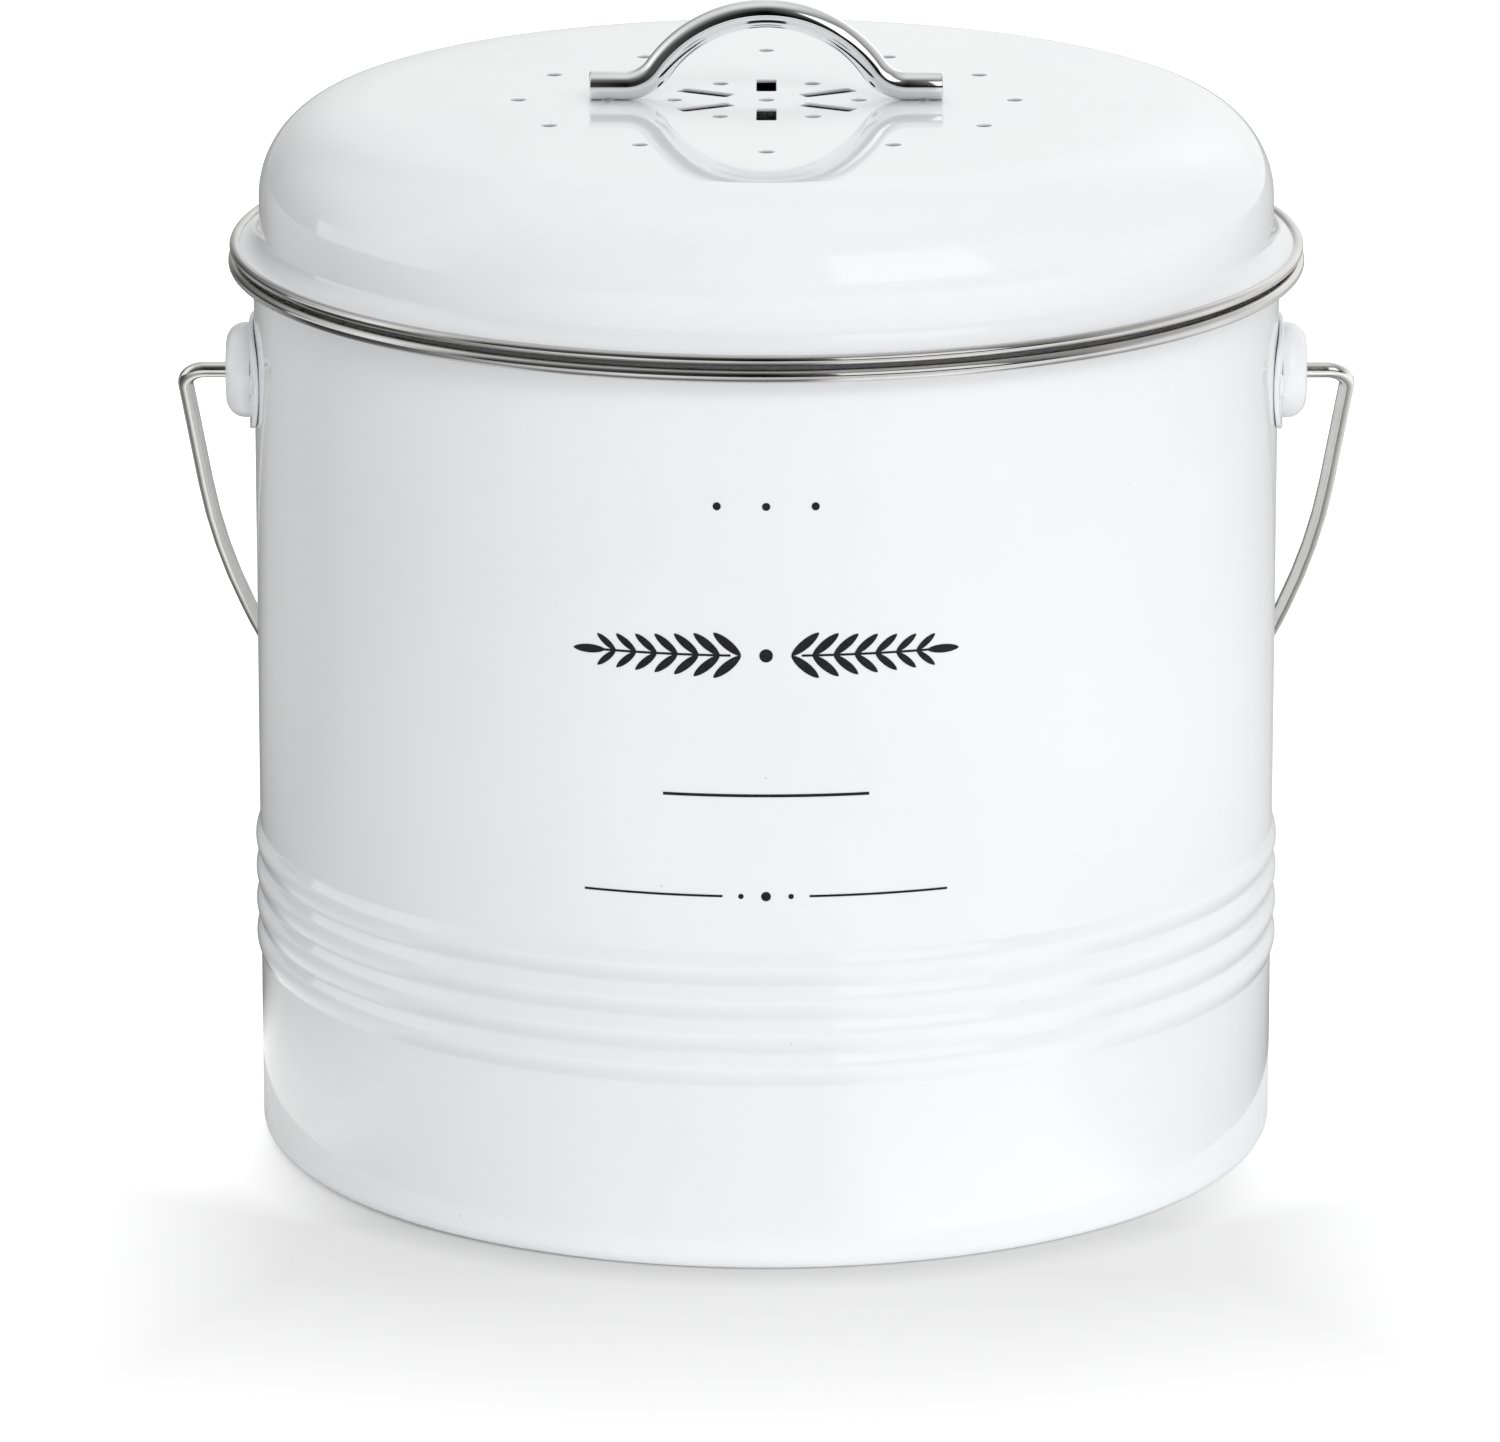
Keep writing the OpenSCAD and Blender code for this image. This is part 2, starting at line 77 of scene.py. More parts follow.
def bentBar(radius, moves, sides, stepAngle):
    # a bar bent in the X-Y plane: moves are ("straight", length) and ("bend", radius, angle),
    # the radius is that of the centre line, and an angle to the left is positive
    bm = bmesh.new()
    facing = Matrix.Rotation(pi / 2, 4, "Y")
    ring = bmesh.ops.create_circle(bm, cap_ends=False, radius=radius * mm, segments=sides,
                                   matrix=facing)["verts"]
    ringEdges = list(bm.edges)
    at, heading = Vector((0, 0, 0)), 0.0
    for move in moves:
        if move[0] == "straight":
            step = Vector((cos(heading), sin(heading), 0)) * move[1] * mm
            grown = bmesh.ops.extrude_edge_only(bm, edges=ringEdges)["geom"]
            ring, ringEdges = vertsIn(grown), edgesIn(grown)
            bmesh.ops.translate(bm, verts=ring, vec=step)
            at += step
        else:
            turn = radians(move[2])
            side = 1 if turn > 0 else -1
            centre = at + Vector((-sin(heading), cos(heading), 0)) * move[1] * mm * side
            last = bmesh.ops.spin(bm, geom=ring + ringEdges, cent=centre, axis=(0, 0, 1), angle=turn,
                                  steps=max(4, round(abs(move[2]) / stepAngle)))["geom_last"]
            ring, ringEdges = vertsIn(last), edgesIn(last)
            at = centre + Matrix.Rotation(turn, 3, "Z") @ (at - centre)
            heading += turn
    bmesh.ops.holes_fill(bm, edges=[e for e in bm.edges if e.is_boundary], sides=0)
    bmesh.ops.recalc_face_normals(bm, faces=bm.faces)
    return bm


def rollEdges(bm, edges, width, segments=3):
    bmesh.ops.bevel(bm, geom=edges, offset=width * mm, offset_type="OFFSET", segments=segments, profile=0.5,
                    affect="EDGES", material=-1, clamp_overlap=True)


def sharpEdges(bm):
    return [e for e in bm.edges if len(e.link_faces) == 2 and e.calc_face_angle(0) > radians(sharpTurn)]


def endRims(bm):
    # the rims of the flat ends of a bar
    return list({e for f in bm.faces if len(f.verts) > 4 for e in f.edges})


def addInto(bm, other):
    mesh = bpy.data.meshes.new("part")
    other.to_mesh(mesh)
    other.free()
    bm.from_mesh(mesh)
    bpy.data.meshes.remove(mesh)


def asObject(name, bm):
    mesh = bpy.data.meshes.new(name)
    bm.to_mesh(mesh)
    bm.free()
    made = bpy.data.objects.new(name, mesh)
    scene.collection.objects.link(made)
    return made


def finishPiece(name, bm, material, body, replaced=(), sharpAngle=40):
    piece = asObject(name, bm)
    piece.data.shade_smooth()
    piece.data.set_sharp_from_angle(angle=radians(sharpAngle))
    piece.data.materials.append(material)
    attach(piece, body)
    if replaced:
        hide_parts(*replaced)
    return piece


def newShader(name):
    material = bpy.data.materials.new(name)
    material.use_nodes = True
    tree = material.node_tree
    return material, tree, tree.nodes["Principled BSDF"]


def addNode(tree, kind, **values):
    node = tree.nodes.new(kind)
    for key, value in values.items():
        if key in node.inputs:
            node.inputs[key].default_value = value
        else:
            setattr(node, key, value)
    return node


def addMath(tree, operation, *terms):
    # each term is a socket or a plain number
    node = addNode(tree, "ShaderNodeMath", operation=operation)
    for i, term in enumerate(terms):
        if isinstance(term, float):
            node.inputs[i].default_value = term
        else:
            tree.links.new(term, node.inputs[i])
    return node.outputs[0]


def addNoise(tree, vector, scale, detail=2.0, rough=0.5):
    noise = addNode(tree, "ShaderNodeTexNoise", Scale=scale, Detail=detail, Roughness=rough)
    tree.links.new(vector, noise.inputs["Vector"])
    return noise.outputs["Fac"]


def addRange(tree, value, fromLow, fromHigh, toLow, toHigh):
    numbers = {"From Min": fromLow, "From Max": fromHigh, "To Min": toLow, "To Max": toHigh}
    ranged = addNode(tree, "ShaderNodeMapRange", **numbers)
    tree.links.new(value, ranged.inputs["Value"])
    return ranged.outputs["Result"]


def addTwoColours(tree, factor, first, second):
    # a mix node has its colours at inputs 6 and 7 and at output 2
    mix = addNode(tree, "ShaderNodeMix", data_type="RGBA")
    mix.inputs[6].default_value = (*first, 1)
    mix.inputs[7].default_value = (*second, 1)
    tree.links.new(factor, mix.inputs[0])
    return mix.outputs[2]


def addBump(tree, shader, heights):
    # heights is a list of (socket, strength, distance in mm)
    below = None
    for height, strength, distance in heights:
        bump = addNode(tree, "ShaderNodeBump", Strength=strength, Distance=distance * mm)
        tree.links.new(height, bump.inputs["Height"])
        if below:
            tree.links.new(below, bump.inputs["Normal"])
        below = bump.outputs["Normal"]
    tree.links.new(below, shader.inputs["Normal"])


enamelLook = {"white": (0.836, 0.84, 0.851), "shade": (0.806, 0.811, 0.824), "cloudScale": 14,
              "fleck": (0.62, 0.63, 0.63), "fleckScale": 210.0, "fleckSize": (0.035, 0.055),
              "fleckShare": (0.955, 0.96), "wipeScale": 38, "roughLow": 0.035, "roughHigh": 0.07,
              "ior": 1.52, "peelScale": 620, "peelHeight": 0.004, "waveScale": 26, "waveHeight": 0.05,
              "bump": 0.5}


def makeEnamel(name="glossEnamel"):
    look = enamelLook
    material, tree, shader = newShader(name)
    place = addNode(tree, "ShaderNodeTexCoord").outputs["Object"]
    clouds = addNoise(tree, place, look["cloudScale"], 3)
    white = addTwoColours(tree, addRange(tree, clouds, 0.35, 0.7, 0, 1), look["white"], look["shade"])
    # rare pin specks in the coat
    dots = addNode(tree, "ShaderNodeTexVoronoi", Scale=look["fleckScale"], Randomness=1.0)
    tree.links.new(place, dots.inputs["Vector"])
    small = addRange(tree, dots.outputs["Distance"], *look["fleckSize"], 1, 0)
    rare = addNode(tree, "ShaderNodeSeparateColor")
    tree.links.new(dots.outputs["Color"], rare.inputs["Color"])
    pick = addRange(tree, rare.outputs["Red"], *look["fleckShare"], 0, 1)
    speck = addNode(tree, "ShaderNodeMix", data_type="RGBA")
    speck.inputs[7].default_value = (*look["fleck"], 1)
    tree.links.new(addMath(tree, "MULTIPLY", small, pick), speck.inputs[0])
    tree.links.new(white, speck.inputs[6])
    tree.links.new(speck.outputs[2], shader.inputs["Base Color"])
    wiped = addNoise(tree, place, look["wipeScale"], 4, 0.6)
    tree.links.new(addRange(tree, wiped, 0.3, 0.75, look["roughLow"], look["roughHigh"]),
                   shader.inputs["Roughness"])
    shader.inputs["IOR"].default_value = look["ior"]
    addBump(tree, shader, [(addNoise(tree, place, look["waveScale"], 1), look["bump"], look["waveHeight"]),
                           (addNoise(tree, place, look["peelScale"], 1), look["bump"], look["peelHeight"])])
    return material


metalLook = {"cloudScale": 90, "smudgeScale": 160, "smudgeBump": 0.3, "smudgeHeight": 0.01,
             "turnShare": 0.0016, "lineBump": 0.35, "lineHeight": 0.006,
             "grainBump": 0.4, "grainHeight": 0.004, "grainRoughScale": 420, "plainRoughScale": 70}


def addTurnedLines(tree, place, fine):
    # noise that hardly changes round the Z axis, as on a part polished while it turns
    split = addNode(tree, "ShaderNodeSeparateXYZ")
    tree.links.new(place, split.inputs[0])
    flat = addNode(tree, "ShaderNodeCombineXYZ")
    tree.links.new(split.outputs["X"], flat.inputs["X"])
    tree.links.new(split.outputs["Y"], flat.inputs["Y"])
    radius = addNode(tree, "ShaderNodeVectorMath", operation="LENGTH")
    tree.links.new(flat.outputs[0], radius.inputs[0])
    turn = addMath(tree, "ARCTAN2", split.outputs["Y"], split.outputs["X"])
    together = addNode(tree, "ShaderNodeCombineXYZ")
    tree.links.new(radius.outputs["Value"], together.inputs["X"])
    tree.links.new(addMath(tree, "MULTIPLY", turn, metalLook["turnShare"]), together.inputs["Y"])
    tree.links.new(split.outputs["Z"], together.inputs["Z"])
    return addNoise(tree, together.outputs[0], fine, 3, 0.6)


def makeMetal(name, light, dark, roughLow, roughHigh, grain=None, turned=None):
    # grain and turned are the scales of fine scratches, every way or round the Z axis
    look = metalLook
    material, tree, shader = newShader(name)
    place = addNode(tree, "ShaderNodeTexCoord").outputs["Object"]
    shader.inputs["Metallic"].default_value = 1.0
    clouds = addNoise(tree, place, look["cloudScale"], 3, 0.55)
    tree.links.new(addTwoColours(tree, addRange(tree, clouds, 0.3, 0.7, 0, 1), light, dark),
                   shader.inputs["Base Color"])
    heights = []
    if turned:
        roughFrom = addTurnedLines(tree, place, turned)
        heights.append((roughFrom, look["lineBump"], look["lineHeight"]))
    else:
        roughScale = look["grainRoughScale"] if grain else look["plainRoughScale"]
        roughFrom = addNoise(tree, place, roughScale, 4, 0.6)
    if grain:
        heights.append((addNoise(tree, place, grain, 3, 0.65), look["grainBump"], look["grainHeight"]))
    smudges = addNoise(tree, place, look["smudgeScale"], 1)
    heights.append((smudges, look["smudgeBump"], look["smudgeHeight"]))
    tree.links.new(addRange(tree, roughFrom, 0.3, 0.72, roughLow, roughHigh), shader.inputs["Roughness"])
    addBump(tree, shader, heights)
    return material


foamLook = {"shadedHollow": (0.004, 0.004, 0.0045), "strand": (0.05, 0.05, 0.052), "cellScale": 780.0,
            "strandWidth": 0.22, "strandBump": 0.9, "strandHeight": 0.6, "roughScale": 900,
            "rough": (0.42, 0.8), "dustScale": 2600, "dustBump": 0.5, "dustHeight": 0.15}


def makeFoam(name="charcoalFoam"):
    look = foamLook
    material, tree, shader = newShader(name)
    place = addNode(tree, "ShaderNodeTexCoord").outputs["Object"]
    # painted shade: the cell hollows take a near-black colour that stands in for the shade inside the
    # pores, and the strands between them keep the foam's own dark grey
    cells = addNode(tree, "ShaderNodeTexVoronoi", feature="DISTANCE_TO_EDGE", Scale=look["cellScale"])
    tree.links.new(place, cells.inputs["Vector"])
    strands = addRange(tree, cells.outputs["Distance"], 0.0, look["strandWidth"], 1, 0)
    tree.links.new(addTwoColours(tree, strands, look["shadedHollow"], look["strand"]),
                   shader.inputs["Base Color"])
    worn = addNoise(tree, place, look["roughScale"], 2)
    tree.links.new(addRange(tree, worn, 0.3, 0.7, *look["rough"]), shader.inputs["Roughness"])
    dust = addNoise(tree, place, look["dustScale"], 2)
    addBump(tree, shader, [(strands, look["strandBump"], look["strandHeight"]),
                           (dust, look["dustBump"], look["dustHeight"])])
    return material


printLook = {"black": (0.006, 0.006, 0.007), "worn": (0.016, 0.016, 0.017), "inkScale": 900,
             "rough": (0.4, 0.55), "specular": 0.25, "inkBump": 0.4, "inkHeight": 0.006}


def makePrint(name="blackPrint"):
    look = printLook
    material, tree, shader = newShader(name)
    place = addNode(tree, "ShaderNodeTexCoord").outputs["Object"]
    ink = addNoise(tree, place, look["inkScale"], 3, 0.6)
    tree.links.new(addTwoColours(tree, addRange(tree, ink, 0.4, 0.7, 0, 1), look["black"], look["worn"]),
                   shader.inputs["Base Color"])
    tree.links.new(addRange(tree, ink, 0.3, 0.7, *look["rough"]), shader.inputs["Roughness"])
    shader.inputs["Specular IOR Level"].default_value = look["specular"]
    addBump(tree, shader, [(ink, look["inkBump"], look["inkHeight"])])
    return material


enamel = makeEnamel()
beadSteel = makeMetal("polishedBead", (0.61, 0.605, 0.595), (0.54, 0.535, 0.525), 0.07, 0.16, turned=2600)
handleChrome = makeMetal("handleChrome", (0.89, 0.895, 0.90), (0.86, 0.865, 0.87), 0.035, 0.085)
bailSteel = makeMetal("satinWire", (0.83, 0.825, 0.81), (0.77, 0.765, 0.75), 0.12, 0.22, grain=2400)
screwSteel = makeMetal("zincScrew", (0.62, 0.63, 0.65), (0.52, 0.53, 0.55), 0.22, 0.4, grain=1500)
foam = makeFoam()
blackPrint = makePrint()
print("finishes made")


bucket = {"bodyRadius": 97.5, "height": 172.8, "sheet": 1.0, "hemRadius": 3.0, "footWidth": 2.4,
          "flareRadius": 2.5, "beadOut": 3.45, "beadRadius": 1.35, "flangeGrip": 0.3,
          "ribCount": 4, "ribMiddle": 48.7, "ribPitch": 6.45, "ribWidth": 6.1, "ribHeight": 0.85,
          "ribPower": 1.05, "ribMargin": 1.0, "ribSteps": 104, "lowRows": (12, 24),
          "highRows": (80, 110, 140, 160), "turns": 256}
beadMiddle = bucket["bodyRadius"] + bucket["beadOut"]
bucketBeadZ = bucket["height"] - bucket["beadRadius"]


def ribSwell(z):
    # how far the wall stands out at height z
    swell = 0.0
    for i in range(bucket["ribCount"]):
        middle = bucket["ribMiddle"] + (i - (bucket["ribCount"] - 1) / 2) * bucket["ribPitch"]
        away = abs(z - middle) / (bucket["ribWidth"] / 2)
        if away < 1:
            swell = max(swell, bucket["ribHeight"] * cos(away * pi / 2) ** bucket["ribPower"])
    return swell


def wallSkin(inset):
    b = bucket
    hem, flare, wall = b["hemRadius"], b["flareRadius"], b["bodyRadius"] - inset
    flareZ = bucketBeadZ - b["sheet"] / 2 - flare
    points = arcPoints((b["bodyRadius"] - hem, hem), hem - inset, -90, 0, 10)
    low = b["ribMiddle"] - b["ribPitch"] * b["ribCount"] / 2 - b["ribMargin"]
    points += [(wall, z) for z in b["lowRows"]]
    for i in range(b["ribSteps"] + 1):
        z = low + (2 * (b["ribMiddle"] - low)) * i / b["ribSteps"]
        points.append((wall + ribSwell(z), z))
    points += [(wall, z) for z in b["highRows"]]
    points += arcPoints((b["bodyRadius"] + flare, flareZ), flare + inset, 180, 90, 10)
    points.append((beadMiddle + b["flangeGrip"], flareZ + flare + inset))
    return points


footIn = bucket["bodyRadius"] - bucket["hemRadius"] - bucket["footWidth"]
footEnd = arcPoints((footIn, bucket["sheet"] / 2), bucket["sheet"] / 2, 90, 270, 6)
wallOutline = footEnd + wallSkin(0) + list(reversed(wallSkin(bucket["sheet"])))
finishPiece("bucketWall", spin(wallOutline, bucket["turns"]), enamel, "bucket", ["bucket_wall"])


tight = 0.1  # the drawn beads are this much slimmer, and keep to their far sides
lipAngle, lipReach = 4, 0.08  # the lips of the slot in a bead


def beadOutline(middleZ, radius, sheet, grip, shift):
    # a round bead with the slot that grips the flange; shift is how far the bead sits off the slot
    lip = degrees(asin(sheet / 2 / radius))
    outside = arcPoints((beadMiddle, middleZ + shift), radius, 180 - lip - lipAngle,
                        -180 + lip + lipAngle, 30)
    slotEnd = beadMiddle + grip
    low = [(outside[-1][0] + lipReach, middleZ - sheet / 2), (slotEnd, middleZ - sheet / 2)]
    high = [(slotEnd, middleZ + sheet / 2), (outside[0][0] + lipReach, middleZ + sheet / 2)]
    return outside + low + high


finishPiece("bucketBead", spin(beadOutline(bucketBeadZ, bucket["beadRadius"] - tight, bucket["sheet"],
                                           bucket["flangeGrip"], -tight), bucket["turns"]),
            beadSteel, "bucket", ["bucket_rim"])

pan = {"radius": 96.45, "lift": 7.05, "low": 3.05, "corner": 2.6, "sheet": 1.0, "turns": 160,
       "rings": (0, 30, 60, 85)}


def panSkin(inset):
    flat = [(r, pan["lift"] - inset) for r in pan["rings"]]
    corner = arcPoints((pan["radius"] - pan["corner"], pan["lift"] - pan["corner"]), pan["corner"] - inset,
                       90, 0, 8)
    return flat + corner + [(pan["radius"] - inset, pan["low"])]


finishPiece("basePan", spin(panSkin(0) + list(reversed(panSkin(pan["sheet"]))), pan["turns"], closed=False),
            enamel, "bucket", ["base_pan"])
print("bucket made")


ear = {"pivotZ": 148.8, "plate": 0.9, "gap": 0.05, "halfLength": 18.0, "endRadius": 10.4, "edge": 0.28,
       "lift": 0.45, "capRadius": 9.1, "capProud": 5.4, "capEdge": 3.6, "capSheet": 1.1, "capSunk": 0.32,
       "holeRadius": 1.58, "mouthRoll": 0.35, "mouthMiddle": 0.1, "rivetReach": 13.5, "rivetHead": 2.4,
       "rivetHeight": 0.8, "rivetShank": 1.4, "rivetEdge": 0.05, "tailFlat": 1.0, "tailDeep": 0.8,
       "tailEdgeDeep": 0.72, "tailEdgeIn": 0.02, "columns": 36, "rows": 24, "capTurns": 72,
       "rivetTurns": 40}
wallIn = bucket["bodyRadius"] - bucket["sheet"]
plateIn = bucket["bodyRadius"] + ear["gap"]
plateOut = plateIn + ear["plate"]


def wrapRound(bm, side):
    # local x runs along the wall, y up it and z out of it; the piece is laid round the bucket at +X or -X
    for v in bm.verts:
        turn = v.co.x / (plateOut * mm)
        reach = plateIn * mm + v.co.z
        v.co = Vector((side * reach * cos(turn), side * reach * sin(turn), v.co.y + ear["pivotZ"] * mm))


def makeSaddle(side, name, node):
    bm = bmesh.new()
    across, tall = ear["halfLength"] - ear["endRadius"], ear["endRadius"]
    bmesh.ops.create_grid(bm, x_segments=ear["columns"], y_segments=ear["rows"], size=1)
    for v in bm.verts:  # the square grid becomes a round-ended plate
        x, y = v.co.x, v.co.y
        disc = Vector((x * sqrt(1 - y * y / 2), y * sqrt(1 - x * x / 2)))
        v.co = Vector(((across * x + tall * disc.x) * mm, tall * disc.y * mm, 0))
    grown = bmesh.ops.extrude_face_region(bm, geom=list(bm.faces))["geom"]
    bmesh.ops.translate(bm, verts=vertsIn(grown), vec=(0, 0, ear["plate"] * mm))
    rollEdges(bm, sharpEdges(bm), ear["edge"])
    for v in bm.verts:  # the plate is tight at its rivets and stands off a hair at its corners
        along = min(1, abs(v.co.x) / (ear["halfLength"] * mm))
        up = min(1, abs(v.co.y) / (tall * mm))
        v.co.z += ear["lift"] * mm * along ** 2 * up ** 2
    wrapRound(bm, side)
    bmesh.ops.recalc_face_normals(bm, faces=bm.faces)
    return finishPiece(name, bm, enamel, "bucket", [node])


def turnedToSide(bm, side, angle=0.0):
    # a piece spun round Z and standing up from z = 0 is laid out along X at the ear
    place = Matrix.Rotation(radians(angle) + (0 if side > 0 else pi), 4, "Z") @ \
        Matrix.Translation((0, 0, ear["pivotZ"] * mm)) @ Matrix.Rotation(pi / 2, 4, "Y")
    bmesh.ops.transform(bm, matrix=place, verts=bm.verts)
    return bm


def capSkin(inset):
    top = bucket["bodyRadius"] + ear["capProud"]
    arc = arcPoints((ear["capRadius"] - ear["capEdge"], top - ear["capEdge"]), ear["capEdge"] - inset,
                    0, 90, 12)
    return [(ear["capRadius"] - inset, plateOut - ear["capSunk"])] + arc


def makeCap(side, name, node):
    hole, top = ear["holeRadius"], bucket["bodyRadius"] + ear["capProud"]
    roll, middle = ear["mouthRoll"], ear["mouthMiddle"]
    mouth = [(hole + roll, top), (hole + middle, top - middle), (hole, top - roll),
             (hole, top - ear["capSheet"])]
    bm = spin(capSkin(0) + mouth + list(reversed(capSkin(ear["capSheet"]))), ear["capTurns"])
    return finishPiece(name, turnedToSide(bm, side), enamel, "bucket", [node])


def makeRivets(side, name, node):
    head = (ear["rivetHead"] ** 2 + ear["rivetHeight"] ** 2) / (2 * ear["rivetHeight"])
    brim = degrees(atan2(head - ear["rivetHeight"], ear["rivetHead"]))
    inside = sqrt(wallIn ** 2 - ear["rivetHead"] ** 2)
    dome = arcPoints((0, plateOut + ear["rivetHeight"] - head), head, brim, 90, 8)
    tail = [(0, inside - ear["tailDeep"]), (ear["tailFlat"], inside - ear["tailDeep"]),
            (ear["rivetShank"], inside - ear["tailEdgeDeep"]), (ear["rivetHead"], inside),
            (ear["rivetShank"], inside + ear["tailEdgeIn"]), (ear["rivetShank"], plateOut)]
    both = bmesh.new()
    for way in (-1, 1):
        one = spin(tail + [(ear["rivetHead"] - ear["rivetEdge"], plateOut)] + dome, ear["rivetTurns"],
                   closed=False)
        addInto(both, turnedToSide(one, side, way * degrees(asin(ear["rivetReach"] / plateOut))))
    return finishPiece(name, both, enamel, "bucket", [node])


for sideSign, sideName in ((1, "right"), (-1, "left")):
    makeSaddle(sideSign, "earSaddle_" + sideName, "ear_saddle_" + sideName)
    makeCap(sideSign, "earCap_" + sideName, "ear_cap_" + sideName)
    makeRivets(sideSign, "earRivets_" + sideName, "ear_rivets_" + sideName)
print("ears made")


bail = {"wireRadius": 1.5, "headRadius": 2.8, "headHeight": 1.1, "headX": 99.575, "bendX": 106.9,
        "bendRadius": 4.0, "lean": 4.5, "leg": 45.8, "kneeLean": 14.5, "kneeRadius": 60.0, "kneeLeg": 20.5,
        "restGap": 0.3, "sweepRadius": 230.0, "sides": 28, "headSides": 32, "stepAngle": 4}


def upLeg(lean):
    # the way up a leg that leans by this angle
    return Vector((sin(radians(lean)), cos(radians(lean))))


def outOfLeg(lean):
    return Vector((cos(radians(lean)), -sin(radians(lean))))


legTop = Vector((bail["bendX"] + bail["bendRadius"] * cos(radians(bail["lean"])),
                 -bail["bendRadius"] * (1 + sin(radians(bail["lean"])))))
legEnd = legTop - bail["leg"] * upLeg(bail["lean"])
kneeMiddle = legEnd - bail["kneeRadius"] * outOfLeg(bail["lean"])
kneeEnd = kneeMiddle + bail["kneeRadius"] * outOfLeg(bail["kneeLean"])
loopStart = kneeEnd - bail["kneeLeg"] * upLeg(bail["kneeLean"])
loopRadius = loopStart.x / cos(radians(bail["kneeLean"]))
loopMiddle = loopStart.y + loopStart.x * tan(radians(bail["kneeLean"]))
bailLength = loopRadius - loopMiddle
bailRest = asin((bucket["bodyRadius"] + bail["wireRadius"] + bail["restGap"]) / bailLength)

# the knee is drawn as one long sweep between the same two lines
kneeTurn = bail["kneeLean"] - bail["lean"]
taken = (bail["sweepRadius"] - bail["kneeRadius"]) * tan(radians(kneeTurn / 2))
halfWay = [("straight", bail["bendX"] - bail["headX"]), ("bend", bail["bendRadius"], 90 + bail["lean"]),
           ("straight", bail["leg"] - taken), ("bend", bail["sweepRadius"], kneeTurn),
           ("straight", bail["kneeLeg"] - taken)]
backLoop = ("bend", loopRadius, 180 - 2 * bail["kneeLean"])
bailBm = bentBar(bail["wireRadius"], halfWay + [backLoop] + list(reversed(halfWay)), bail["sides"],
                 bail["stepAngle"])
# the bar was bent from the left ear: it starts there and runs out to the left
bmesh.ops.transform(bailBm, verts=bailBm.verts,
                    matrix=Matrix.Translation((-bail["headX"] * mm, 0, 0)) @ Matrix.Rotation(pi, 4, "Z"))
for headSide in (-1, 1):  # the upset heads inside the caps
    flat = Matrix.Translation((headSide * (bail["headX"] + bail["headHeight"] / 2) * mm, 0, 0)) @ \
        Matrix.Rotation(pi / 2, 4, "Y")
    bmesh.ops.create_cone(bailBm, cap_ends=True, segments=bail["headSides"],
                          radius1=bail["headRadius"] * mm, radius2=bail["headRadius"] * mm,
                          depth=bail["headHeight"] * mm, matrix=flat)
hung = Matrix.Translation((0, 0, ear["pivotZ"] * mm)) @ Matrix.Rotation(pi / 2 + bailRest, 4, "X")
bmesh.ops.transform(bailBm, verts=bailBm.verts, matrix=hung)
bmesh.ops.recalc_face_normals(bailBm, faces=bailBm.faces)
finishPiece("bailWire", bailBm, bailSteel, "bail", ["bail"])
print("bail made")


lid = {"sheet": 0.8, "domeInset": 1.2, "domeHeight": 28.5, "shoulderReach": 22.8, "crownRadius": 45.5,
       "shoulderRadius": 17.2, "rootRadius": 4.0, "beadRadius": 1.1, "seatGap": 0.25, "turns": 256,
       "plateRadius": 58.0, "slots": 6, "slotIn": 7.9, "slotOut": 18.9, "slotWidth": 3.7, "slotCorner": 0.6,
       "holeRadius": 1.45, "innerRing": 17.5, "outerRing": 47.0, "outerCount": 12, "holeEdge": 0.2,
       "holeUnder": 0.42, "holeSides": 32, "flatRow": 66, "sharpAngle": 30, "levelNormal": 0.99999}
domeRadius = bucket["bodyRadius"] - lid["domeInset"]
lidTop = bucket["height"] + lid["domeHeight"]
lidUnder = lidTop - lid["sheet"]
lidBeadZ = bucket["height"] + lid["seatGap"] + lid["beadRadius"]
flangeZ = lidBeadZ + lid["sheet"] / 2
flatRadius = domeRadius - lid["shoulderReach"]
shoulderIn = lid["shoulderReach"] - lid["shoulderRadius"]
shoulderUp = sqrt((lid["crownRadius"] - lid["shoulderRadius"]) ** 2 - shoulderIn ** 2)
shoulderZ = lidTop - lid["crownRadius"] + shoulderUp
crownEnd = degrees(atan2(shoulderUp, shoulderIn))


def lidSkin(inset):
    crown, shoulder, root = lid["crownRadius"], lid["shoulderRadius"], lid["rootRadius"]
    points = [(lid["plateRadius"], lidTop - inset), (lid["flatRow"], lidTop - inset)]
    points += arcPoints((flatRadius, lidTop - crown), crown - inset, 90, crownEnd, 12)
    points += arcPoints((domeRadius - shoulder, shoulderZ), shoulder - inset, crownEnd, 0, 24)[1:]
    points += arcPoints((domeRadius + root, flangeZ + root), root + inset, 180, 270, 12)
    points.append((beadMiddle + bucket["flangeGrip"], flangeZ - inset))
    return points


